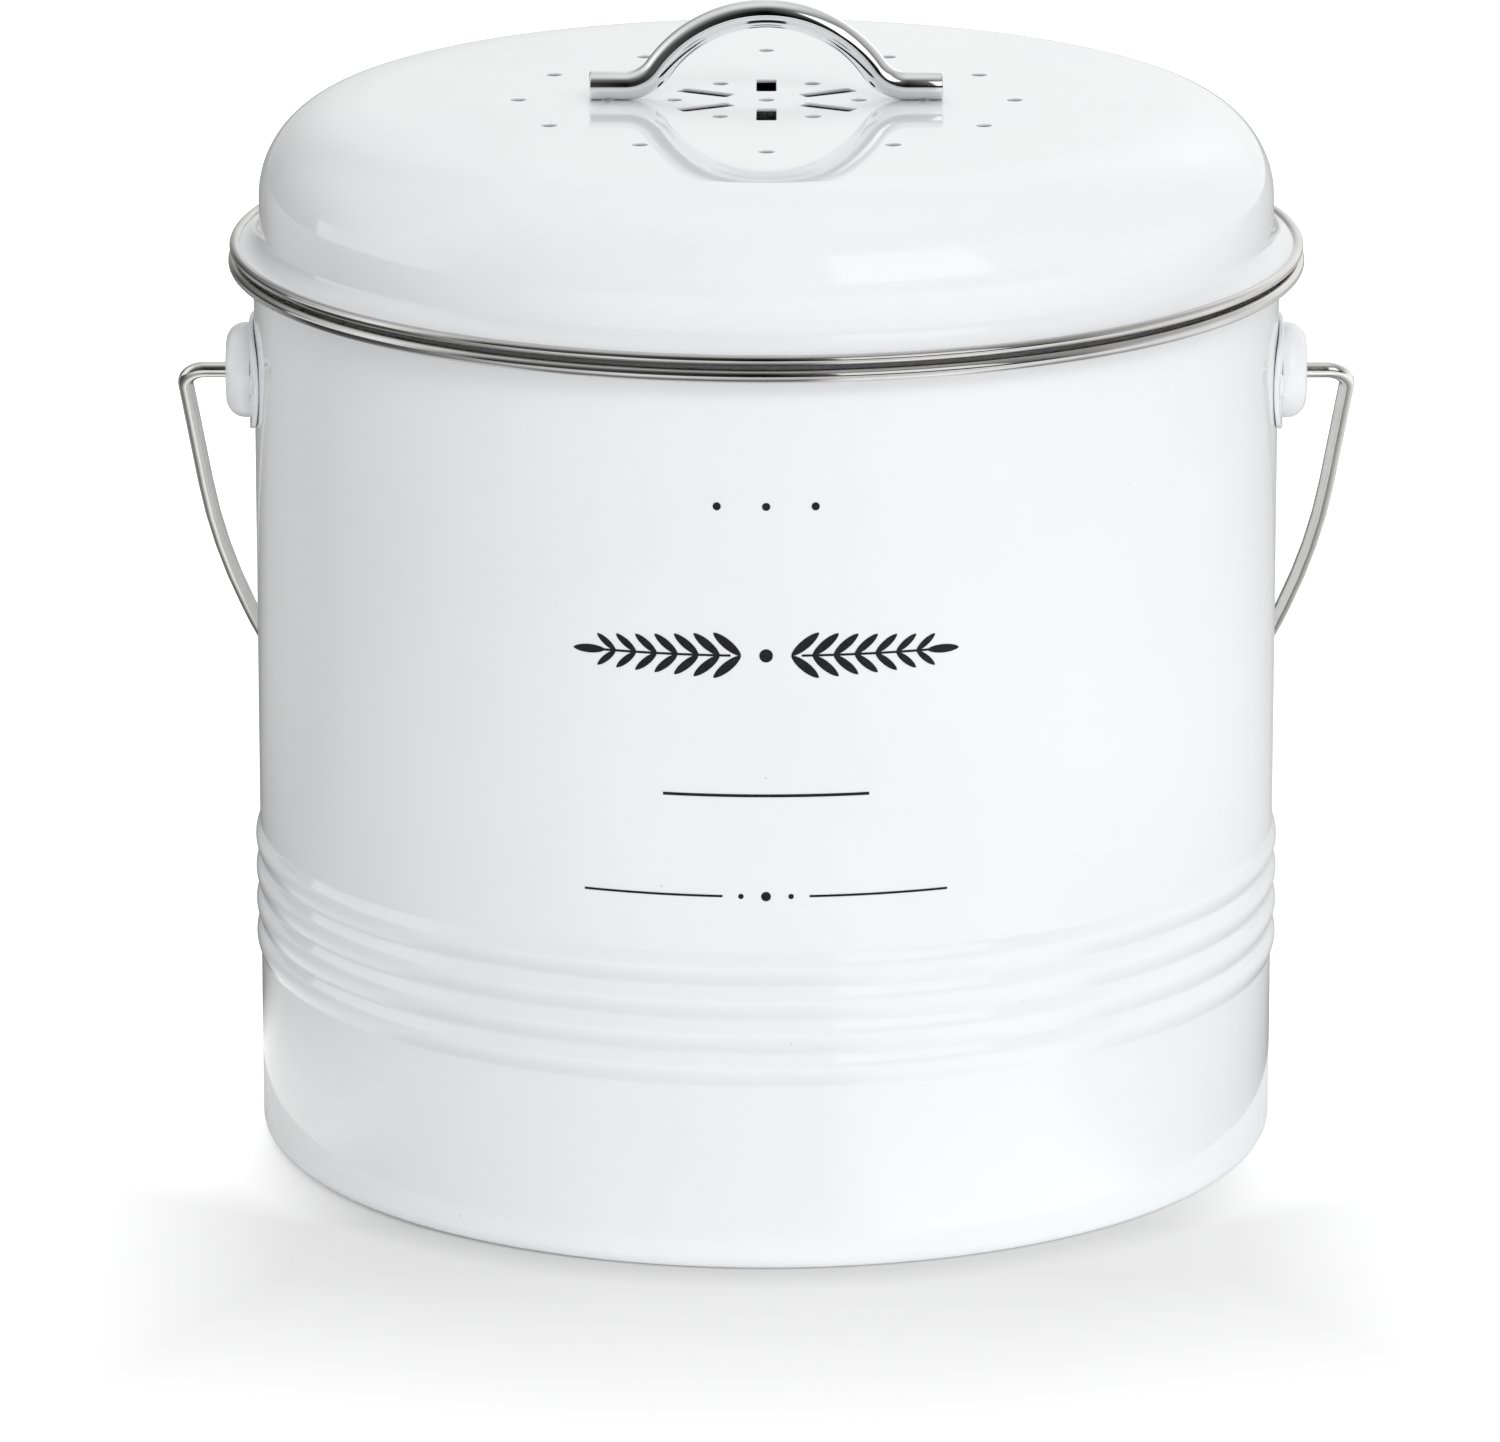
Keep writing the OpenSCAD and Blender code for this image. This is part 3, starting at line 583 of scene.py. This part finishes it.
def ventOutlines():
    # each vent as (x, y, turn, list of outline points in mm round its own middle)
    turns = [2 * pi * i / lid["holeSides"] for i in range(lid["holeSides"])]
    hole = [(lid["holeRadius"] * cos(turn), lid["holeRadius"] * sin(turn)) for turn in turns]
    vents = [(0, 0, 0, hole)]
    half = (lid["slotOut"] - lid["slotIn"]) / 2 - lid["slotCorner"]
    wide = lid["slotWidth"] / 2 - lid["slotCorner"]
    slot = []
    for cx, cy, start in ((half, wide, 0), (-half, wide, 90), (-half, -wide, 180), (half, -wide, 270)):
        slot += arcPoints((cx, cy), lid["slotCorner"], start, start + 90, 5)
    middle = (lid["slotIn"] + lid["slotOut"]) / 2
    for i in range(lid["slots"]):
        turn = pi / 2 + 2 * pi * i / lid["slots"]
        vents.append((middle * cos(turn), middle * sin(turn), turn, slot))
        turn += pi / lid["slots"]
        vents.append((lid["innerRing"] * cos(turn), lid["innerRing"] * sin(turn), 0, hole))
    for i in range(lid["outerCount"]):
        turn = 2 * pi * i / lid["outerCount"]
        vents.append((lid["outerRing"] * cos(turn), lid["outerRing"] * sin(turn), 0, hole))
    return vents


def makeLidShell():
    bm = spin(list(reversed(lidSkin(lid["sheet"]))), lid["turns"], closed=False)  # under side
    addInto(bm, spin(lidSkin(0), lid["turns"], closed=False))
    outer = [e for e in bm.edges if e.is_boundary and e.verts[0].co.xy.length > flatRadius * mm]
    bmesh.ops.bridge_loops(bm, edges=outer)
    rings = []
    for z in (lidTop, lidUnder):  # the flat middle, filled round its vents
        edges = [e for e in bm.edges if e.is_boundary and abs(e.verts[0].co.z - z * mm) < hair
                 and e.verts[0].co.xy.length < lid["flatRow"] * mm]
        for x, y, turn, outline in ventOutlines():
            verts = [bm.verts.new(((x + px * cos(turn) - py * sin(turn)) * mm,
                                   (y + px * sin(turn) + py * cos(turn)) * mm, z * mm))
                     for px, py in outline]
            ring = [bm.edges.new((verts[i - 1], verts[i])) for i in range(len(verts))]
            rings.append(ring)
            edges += ring
        bmesh.ops.triangle_fill(bm, edges=edges, use_beauty=True, use_dissolve=False, normal=(0, 0, 1))
    count = len(ventOutlines())
    for i in range(count):
        bmesh.ops.bridge_loops(bm, edges=rings[i] + rings[i + count])
    bmesh.ops.recalc_face_normals(bm, faces=bm.faces)
    # punched edges, rolled most on the under side
    for level, key in ((lidUnder, "holeUnder"), (lidTop, "holeEdge")):
        rims = [e for e in sharpEdges(bm) if all(
            abs(v.co.z - level * mm) < hair and v.co.xy.length < lid["plateRadius"] * mm for v in e.verts)]
        rollEdges(bm, rims, lid[key])
    return bm


lidPiece = finishPiece("lidShell", makeLidShell(), enamel, "lid", ["lid_shell"],
                       lid["sharpAngle"])
for face in lidPiece.data.polygons:  # the flat middle stays flat right up to the rolled edges of the vents
    if abs(face.normal.z) > lid["levelNormal"] and Vector(face.center).xy.length < lid["plateRadius"] * mm:
        face.use_smooth = False
finishPiece("lidBead", spin(beadOutline(lidBeadZ, lid["beadRadius"] - tight, lid["sheet"],
                                        bucket["flangeGrip"], tight), lid["turns"]),
            beadSteel, "lid", ["lid_rim"])

hoop = {"height": 18.0, "drop": 8.5, "curl": 1.8, "sheet": 0.8, "gap": 0.05, "turns": 200}
hoopRadius = domeRadius - lid["sheet"] - hoop["gap"]
hoopLow = bucket["height"] - hoop["drop"]


def hoopSkin(inset):
    curl = arcPoints((hoopRadius - hoop["curl"], hoopLow + hoop["curl"]), hoop["curl"] - inset, -90, 0, 8)
    start = (hoopRadius - 2 * hoop["curl"], hoopLow + inset)
    end = (hoopRadius - inset, hoopLow + hoop["height"])
    return [start] + curl + [end]


finishPiece("lidHoop", spin(hoopSkin(0) + list(reversed(hoopSkin(hoop["sheet"]))), hoop["turns"]), enamel,
            "lid", ["lid_skirt"])
print("lid made")


handle = {"rod": 2.7, "halfLength": 33.5, "archRadius": 25.0, "footBend": 7.6, "rise": 13.9, "endEdge": 0.4,
          "screwInset": 3.6, "screwHead": 2.8, "screwHeight": 1.8, "screwShank": 1.5, "screwDepth": 3.4,
          "headRound": 0.9, "headEdge": 0.05, "tipEdge": 0.3, "driveDepth": 0.7, "driveEdge": 0.12,
          "driveRadii": (1.1, 1.2, 1.35), "washer": 3.6, "washerHeight": 0.6, "washerEdge": 0.12,
          "washerGap": 0.05, "lift": 0.02, "sides": 48, "stepAngle": 2.5, "screwSides": 40}
archAngle = degrees(2 * asin(sqrt(handle["rise"] / (2 * (handle["archRadius"] + handle["footBend"])))))
footX = (handle["archRadius"] + handle["footBend"]) * sin(radians(archAngle))
foot = ("straight", handle["halfLength"] - footX)
footTurn = ("bend", handle["footBend"], archAngle)
arch = ("bend", handle["archRadius"], -2 * archAngle)
handleBm = bentBar(handle["rod"], [foot, footTurn, arch, footTurn, foot], handle["sides"],
                   handle["stepAngle"])
rollEdges(handleBm, endRims(handleBm), handle["endEdge"])
rodHeight = lidTop + handle["rod"] + handle["lift"]
stood = Matrix.Translation((-handle["halfLength"] * mm, 0, rodHeight * mm)) @ \
    Matrix.Rotation(pi / 2, 4, "X")
bmesh.ops.transform(handleBm, verts=handleBm.verts, matrix=stood)
finishPiece("bowHandle", handleBm, handleChrome, "lid", ["lid_handle"])


def pairAtScrews(outline, name, node, closed):
    both = bmesh.new()
    reach = handle["halfLength"] - handle["screwInset"]
    for way in (-1, 1):
        one = spin(outline, handle["screwSides"], closed)
        bmesh.ops.translate(one, verts=one.verts, vec=(way * reach * mm, 0, 0))
        addInto(both, one)
    return finishPiece(name, both, screwSteel, "lid", [node])


washerLow = lidUnder - handle["washerHeight"]
headLow = washerLow - handle["screwHeight"]


def screwOutline():
    head, shank, tip = handle["screwHead"], handle["screwShank"], lidTop + handle["screwDepth"]
    driveIn, driveOut, driveBrim = handle["driveRadii"]
    curve, edge = handle["headRound"], handle["headEdge"]
    top = headLow + handle["driveDepth"]
    drive = [(0, top), (driveIn, top), (driveOut, headLow + handle["driveEdge"]), (driveBrim, headLow)]
    side = arcPoints((head - curve, headLow + curve), curve, -90, 0, 6)
    side += [(head, washerLow - edge), (head - edge, washerLow)]
    return drive + side + [(shank, washerLow), (shank, tip - handle["tipEdge"]),
                           (shank - handle["tipEdge"], tip), (0, tip)]


def washerOutline():
    hole, brim, edge = handle["screwShank"] + handle["washerGap"], handle["washer"], handle["washerEdge"]
    return [(hole, washerLow), (brim - edge, washerLow), (brim, washerLow + edge),
            (brim, lidUnder - edge), (brim - edge, lidUnder), (hole, lidUnder)]


pairAtScrews(screwOutline(), "handleScrews", "handle_screws", False)
pairAtScrews(washerOutline(), "handleWashers", "handle_washers", True)
print("lid handle made")


# cells and lumps are (pattern, its size in m, height)
puck = {"radius": 64.0, "thick": 8.0, "gap": 0.4, "corner": 1.2, "sideSkin": 0.45, "flatSkin": 0.4,
        "cells": ("VORONOI", 0.0016, 0.55), "lumps": ("CLOUDS", 0.004, 0.35), "rings": 80, "sides": 300,
        "sideRows": 6}
filterTop = headLow - puck["gap"]
filterLow = filterTop - puck["thick"]


def makeFilter():
    # the skin is drawn in by about as much as the rough surface pushes it out
    r, c, rows = puck["radius"] - puck["sideSkin"], puck["corner"], puck["sideRows"]
    high, low = filterTop - puck["flatSkin"], filterLow + puck["flatSkin"]
    outline = [(r * i / puck["rings"], high) for i in range(puck["rings"] - 1)]
    outline += arcPoints((r - c, high - c), c, 90, 0, 3)
    outline += [(r, high - c - (high - low - 2 * c) * i / rows) for i in range(1, rows)]
    outline += arcPoints((r - c, low + c), c, 0, -90, 3)
    outline += [(r * i / puck["rings"], low) for i in range(puck["rings"] - 2, -1, -1)]
    piece = asObject("charcoalFilter", spin(outline, puck["sides"], closed=False))
    for kind, size, strength in (puck["cells"], puck["lumps"]):
        pattern = bpy.data.textures.new("foam" + kind.title(), kind)
        pattern.noise_scale = size
        push = piece.modifiers.new("push" + kind.title(), "DISPLACE")
        push.texture = pattern
        push.texture_coords = "LOCAL"
        push.strength = strength * mm
        push.mid_level = 0.5
    return piece


filterPiece = makeFilter()
filterPiece.data.materials.append(foam)
filterPiece.data.shade_smooth()
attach(filterPiece, "lid")
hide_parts("charcoal_filter")

clip = {"sheet": 0.8, "width": 12.0, "bend": 0.8, "foot": 6.0, "lip": 6.0, "sideGap": 0.1, "edge": 0.2,
        "edgeSteps": 2, "angles": (45, 135, 225, 315)}


def makeClip(number, turn):
    leg = puck["radius"] + clip["bend"] + clip["sideGap"]
    topMiddle = (leg + clip["sheet"] + clip["bend"], lidUnder - clip["sheet"] - clip["bend"])
    lowMiddle = (leg - clip["bend"], filterLow + clip["bend"])
    line = [(topMiddle[0] + clip["foot"], lidUnder - clip["sheet"])]
    line += arcPoints(topMiddle, clip["bend"], 90, 180, 6)
    line += arcPoints(lowMiddle, clip["bend"] + clip["sheet"], 0, -90, 6)
    line.append((lowMiddle[0] - clip["lip"], filterLow - clip["sheet"]))
    bm = bmesh.new()
    verts = [bm.verts.new((r * mm, -clip["width"] / 2 * mm, z * mm)) for r, z in line]
    edges = [bm.edges.new(pair) for pair in zip(verts, verts[1:])]
    grown = bmesh.ops.extrude_edge_only(bm, edges=edges)["geom"]
    bmesh.ops.translate(bm, verts=vertsIn(grown), vec=(0, clip["width"] * mm, 0))
    bmesh.ops.recalc_face_normals(bm, faces=bm.faces)
    if bm.faces[:][0].normal.z > 0:  # the sheet grows up and inwards from this line
        bmesh.ops.reverse_faces(bm, faces=bm.faces)
    bmesh.ops.solidify(bm, geom=list(bm.faces), thickness=clip["sheet"] * mm)
    bmesh.ops.recalc_face_normals(bm, faces=bm.faces)
    rollEdges(bm, sharpEdges(bm), clip["edge"], clip["edgeSteps"])
    bmesh.ops.rotate(bm, verts=bm.verts, cent=(0, 0, 0), matrix=Matrix.Rotation(radians(turn), 3, "Z"))
    return finishPiece("filterClip_%d" % number, bm, enamel, "lid", ["filter_clip_%d" % number])


for clipNumber, clipTurn in enumerate(clip["angles"], 1):
    makeClip(clipNumber, clipTurn)
print("filter and clips made")


motif = {"proud": 0.03, "thick": 0.05, "dot": 0.75, "barSteps": 24, "leafSides": 28, "dotSides": 20,
         "topZ": 146.2, "topPitch": 9,
         "sprigZ": 118.2, "sprigLength": 72.5, "sprigDot": 1.25, "stem": 0.42, "stemShort": 9,
         "stemShift": 2, "leaves": 7, "leafLength": 6.6, "leafWidth": 1.75, "leafLean": 40,
         "leafShrink": 0.05, "leafPoint": 0.35, "leafStart": 4.6, "leafShort": 13, "tipBack": 6.4,
         "tipLength": 6.2, "tipWidth": 1.6,
         "ruleZ": 91.7, "ruleLength": 38.0, "ruleWidth": 0.55, "ruleSteps": 40,
         "lowZ": 72.5, "lowReach": 21, "lowLength": 26, "lowWidth": 0.42, "lowDotX": 4.6, "lowDot": 0.5,
         "lowMiddleDot": 1.2}


def addLeaf(bm, x, z, length, width, turn):
    made = bmesh.ops.create_circle(bm, cap_ends=True, radius=1, segments=motif["leafSides"])["verts"]
    for v in made:
        px, py = v.co.x, v.co.y
        v.co = Vector((px * length / 2, py * abs(py) ** motif["leafPoint"] * width / 2, 0))
    place = Matrix.Translation((x, z, 0)) @ Matrix.Rotation(radians(turn), 4, "Z") @ \
        Matrix.Translation((length / 2, 0, 0))
    bmesh.ops.transform(bm, matrix=place, verts=made)


def addBar(bm, x, z, length, width, steps):
    made = bmesh.ops.create_grid(bm, x_segments=steps, y_segments=1, size=0.5)["verts"]
    bmesh.ops.scale(bm, vec=(length, width, 1), verts=made)
    bmesh.ops.translate(bm, vec=(x, z, 0), verts=made)


def addDot(bm, x, z, radius):
    made = bmesh.ops.create_circle(bm, cap_ends=True, radius=radius, segments=motif["dotSides"])["verts"]
    bmesh.ops.translate(bm, vec=(x, z, 0), verts=made)


def makeMotif():
    bm = bmesh.new()
    m = motif
    addBar(bm, 0, m["ruleZ"], m["ruleLength"], m["ruleWidth"], m["ruleSteps"])
    half = m["sprigLength"] / 2
    for way in (-1, 1):  # a sprig to each side of the middle
        addBar(bm, way * (half / 2 + m["stemShift"]), m["sprigZ"], half - m["stemShort"], m["stem"],
               m["barSteps"])
        for i in range(m["leaves"]):
            x = way * (m["leafStart"] + i * (half - m["leafShort"]) / (m["leaves"] - 1))
            size = 1 - m["leafShrink"] * i
            for up in (-1, 1):
                lean = m["leafLean"] * up if way > 0 else 180 - m["leafLean"] * up
                addLeaf(bm, x, m["sprigZ"], m["leafLength"] * size, m["leafWidth"] * size, lean)
        addLeaf(bm, way * (half - m["tipBack"]), m["sprigZ"], m["tipLength"], m["tipWidth"],
                0 if way > 0 else 180)
    addDot(bm, 0, m["sprigZ"], m["sprigDot"])
    for way in (-1, 0, 1):
        addDot(bm, way * m["topPitch"], m["topZ"], m["dot"])
    for way in (-1, 1):
        addBar(bm, way * m["lowReach"], m["lowZ"], m["lowLength"], m["lowWidth"], m["barSteps"])
        addDot(bm, way * m["lowDotX"], m["lowZ"], m["lowDot"])
    addDot(bm, 0, m["lowZ"], m["dot"] * m["lowMiddleDot"])
    bmesh.ops.poke(bm, faces=[f for f in bm.faces if len(f.verts) > 4])
    grown = bmesh.ops.extrude_face_region(bm, geom=list(bm.faces))["geom"]
    bmesh.ops.translate(bm, verts=vertsIn(grown), vec=(0, 0, m["thick"]))
    for v in bm.verts:  # laid on the front of the wall
        turn = v.co.x / bucket["bodyRadius"]
        reach = bucket["bodyRadius"] + m["proud"] + v.co.z
        v.co = Vector((reach * sin(turn) * mm, -reach * cos(turn) * mm, v.co.y * mm))
    bmesh.ops.recalc_face_normals(bm, faces=bm.faces)
    return bm


finishPiece("frontMotif", makeMotif(), blackPrint, "bucket")
print("front motif made")


view = {"place": (0, -1.9, 0.597), "down": 15.241, "left": 0.0935, "lens": 245.5, "sensor": 36,
        "farClip": 20}
cameraData = bpy.data.cameras.new("camera")
cameraData.lens = view["lens"]
cameraData.sensor_width = view["sensor"]
cameraData.clip_end = view["farClip"]
camera = bpy.data.objects.new("camera", cameraData)
camera.location = view["place"]
camera.rotation_euler = (radians(90 - view["down"]), 0, radians(view["left"]))
scene.collection.objects.link(camera)
scene.camera = camera

# the rises are (start, end, light at the end), and lift and footGlowSides are (start, end, light at each)
# the rises, lift and the glow round the foot are painted light on the floor, and lift ends in a painted
# shadow round the foot
studio = {"floor": (0.75, 0.75, 0.75), "floorRough": 0.6, "floorReach": 3.0, "fill": 0.645, "gloss": 0.05,
          "middle": 0.1, "lift": (0.0975, 0.108, 0, 0.13), "footGlowReach": (0.1, 0.36),
          "footGlowSides": (-0.15, 0.15, 0.05, 0.5), "frontRise": (-0.098, -0.195, 0.24),
          "backRise": (-0.07, -0.005, 0.5), "sideRise": (0.088, 0.15, 0.3)}


def setGlow(shader, base):
    # a matt surface that also gives white light
    shader.inputs["Base Color"].default_value = (*base, 1)
    shader.inputs["Specular IOR Level"].default_value = 0.0
    shader.inputs["Emission Color"].default_value = (1, 1, 1, 1)


def makeFloor():
    bm = bmesh.new()
    bmesh.ops.create_grid(bm, x_segments=1, y_segments=1, size=studio["floorReach"])
    floor = asObject("floor", bm)
    material, tree, shader = newShader("paleFloor")
    setGlow(shader, studio["floor"])
    shader.inputs["Roughness"].default_value = studio["floorRough"]
    # painted light: to the camera the floor glows more towards the viewer, behind the object and to its
    # sides, standing in for the fall of light on lit paper
    place = addNode(tree, "ShaderNodeTexCoord").outputs["Object"]
    split = addNode(tree, "ShaderNodeSeparateXYZ")
    tree.links.new(place, split.inputs[0])
    aside = addMath(tree, "ABSOLUTE", split.outputs["X"])
    rises = [addRange(tree, along, *studio[key][:2], 0, studio[key][2]) for along, key in (
        (split.outputs["Y"], "frontRise"), (split.outputs["Y"], "backRise"), (aside, "sideRise"))]
    highest = addMath(tree, "MAXIMUM", addMath(tree, "MAXIMUM", rises[0], rises[1]), rises[2])
    away = addNode(tree, "ShaderNodeVectorMath", operation="LENGTH")
    tree.links.new(place, away.inputs[0])
    distance = away.outputs["Value"]
    # painted shadow: the glow to the camera is held back close round the foot, as a contact shadow
    lift = addMath(tree, "ADD", highest, addRange(tree, distance, *studio["lift"]))
    # painted light: the floor round the foot glows to diffuse rays, more on the right, and so lights the
    # lower wall
    near = addMath(tree, "MULTIPLY", addRange(tree, distance, *studio["footGlowReach"], 1, 0),
                   addRange(tree, split.outputs["X"], *studio["footGlowSides"]))
    rays = addNode(tree, "ShaderNodeLightPath")
    seen = addMath(tree, "MULTIPLY", rays.outputs["Is Camera Ray"], lift)
    given = addMath(tree, "MULTIPLY_ADD", rays.outputs["Is Diffuse Ray"], near, seen)
    tree.links.new(given, shader.inputs["Emission Strength"])
    floor.data.materials.append(material)


def makeWorld():
    # white to the camera, dim to the gloss, an even fill to everything else
    world = bpy.data.worlds.new("studio")
    scene.world = world
    world.use_nodes = True
    tree = world.node_tree
    back = tree.nodes["Background"]
    back.inputs["Color"].default_value = (1, 1, 1, 1)
    rays = addNode(tree, "ShaderNodeLightPath")
    dull = addRange(tree, rays.outputs["Is Glossy Ray"], 0, 1, studio["fill"], studio["gloss"])
    tree.links.new(addMath(tree, "MAXIMUM", rays.outputs["Is Camera Ray"], dull), back.inputs["Strength"])


def aimed(obj, place, target):
    obj.location = place
    obj.rotation_euler = (Vector(target) - Vector(place)).to_track_quat("-Z", "Y").to_euler()
    scene.collection.objects.link(obj)


def polar(azimuth, elevation, away):
    # azimuth 0 is towards the camera and grows to the right
    a, e = radians(azimuth), radians(elevation)
    return (away * cos(e) * sin(a), -away * cos(e) * cos(a), studio["middle"] + away * sin(e))


def addLamp(name, azimuth, elevation, away, width, height, watts):
    data = bpy.data.lights.new(name, "AREA")
    data.shape = "RECTANGLE"
    data.size, data.size_y = width, height
    data.energy = watts
    lamp = bpy.data.objects.new(name, data)
    lamp.visible_camera = False
    lamp.visible_glossy = False
    aimed(lamp, polar(azimuth, elevation, away), (0, 0, studio["middle"]))


def levelAt(levels, at):
    # levels are (position, level) pairs in rising order
    for (start, low), (end, high) in zip(levels, levels[1:]):
        if at <= end:
            return low + (high - low) * max(0, (at - start) / (end - start))
    return levels[-1][1]


cardStep = 4  # degrees between the columns of a card


def addCard(name, outline, rows):
    # a bent card round the object, seen by gloss alone; outline is (radius, height)
    # rows are (elevation, [(azimuth, level), ...]) and the level runs evenly between them
    first, last = rows[0][1][0][0], rows[0][1][-1][0]
    bm = bmesh.new()
    verts = [bm.verts.new((0, -r, z)) for r, z in outline]
    edges = [bm.edges.new(pair) for pair in zip(verts, verts[1:])]
    bmesh.ops.rotate(bm, verts=verts, cent=(0, 0, 0), matrix=Matrix.Rotation(radians(first), 3, "Z"))
    bmesh.ops.spin(bm, geom=verts + edges, cent=(0, 0, 0), axis=(0, 0, 1), angle=radians(last - first),
                   steps=max(8, round((last - first) / cardStep)))
    glow = bm.verts.layers.float.new("glow")
    for v in bm.verts:
        azimuth = first + (degrees(atan2(v.co.x, -v.co.y)) - first + 1) % 360 - 1
        elevation = degrees(atan2(v.co.z - studio["middle"], v.co.xy.length))
        v[glow] = levelAt([(e, levelAt(levels, azimuth)) for e, levels in rows], elevation)
    card = asObject(name, bm)
    material, tree, shader = newShader(name + "Card")
    setGlow(shader, (0, 0, 0))
    level = addNode(tree, "ShaderNodeAttribute", attribute_name="glow")
    tree.links.new(level.outputs["Fac"], shader.inputs["Emission Strength"])
    card.data.materials.append(material)
    card.visible_camera = False
    card.visible_shadow = False
    card.visible_diffuse = False


def upright(away, low, high, steps=2):
    # a card that stands between two elevations
    tilts = [radians(low + (high - low) * i / steps) for i in range(steps + 1)]
    return [(away * cos(e), studio["middle"] + away * sin(e)) for e in tilts]


def flatLevels(azimuths, level):
    return [(0, [(azimuths[0], level), (azimuths[1], level)])]


def roundLevels(levels):
    # twelve levels, 30 degrees apart from behind by the left to behind again
    return list(zip(range(-180, 181, 30), levels + levels[:1]))


makeFloor()
makeWorld()
# azimuth, elevation, distance, width, height and power
lamps = {"keyLamp": (32, 35, 1.7, 0.5, 0.35, 2.2), "sideLamp": (38, 12, 2.0, 1.0, 1.2, 2.0),
         "rightLamp": (85, 12, 2.0, 1.0, 1.0, 1.9), "frontLamp": (10, 40, 2.4, 1.0, 0.7, 7.8),
         "lowLamp": (4, 8, 2.2, 1.2, 1.2, 9.0), "backLamp": (180, 50, 2.0, 1.4, 1.0, 12.0)}
for lampName, setting in lamps.items():
    addLamp(lampName, *setting)
addCard("surround", upright(1.9, -2, 89.5, 30), [
    (5, roundLevels([0.9, 0.1, 0.0, 1.3, 0.0, 0.1, 0.0, 0.0, 0.0, 1.1, 1.15, 1.15])),
    (28, roundLevels([1.0, 0.25, 0.75, 1.3, 0.15, 0.05, 0.0, 0.25, 0.25, 0.6, 0.7, 1.35])),
    (55, roundLevels([0.75, 0.64, 0.76, 0.74, 0.5, 0.2, 0.1, 0.3, 0.3, 0.42, 0.63, 0.6])),
    (80, roundLevels([0.8] * 12))])
addCard("keySoftbox", upright(1.7, 13, 45), flatLevels((15, 51), 1.3))
addCard("leftBoard", upright(1.4, -2, 8), flatLevels((-117, -76), 1.1))
overFloor = 0.0005
glowRings = (0.112, 0.13, 0.16, 0.2, 0.26, 0.32, 0.4, 0.6, studio["floorReach"])
addCard("floorGlow", [(r, overFloor) for r in glowRings], [
    (-38, [(-180, 0.1), (-125, 0.1), (-112, 1.1), (-72, 1.1), (-58, 0.15), (8, 0.12), (18, 1.5), (48, 1.5),
           (60, 0.3), (110, 0.25), (180, 0.1)]),
    (-25, [(-180, 0.2), (-125, 0.1), (-112, 0.15), (-72, 0.2), (-58, 0.4), (-27, 0.3), (8, 0.25), (18, 1.3),
           (48, 1.4), (62, 0.5), (110, 0.6), (137, 0.6), (180, 0.2)]),
    (-14, [(-180, 0.3), (-152, 0.2), (-138, 0.45), (-124, 0.4), (-108, 0.05), (-81, 0.1), (-54, 0.64),
           (-27, 1.12), (0, 0.88), (27, 0.95), (54, 1.15), (81, 1.2), (108, 1.2), (137, 0.75),
           (180, 0.3)])])
print("camera and light set")

scene.view_settings.view_transform = "Standard"
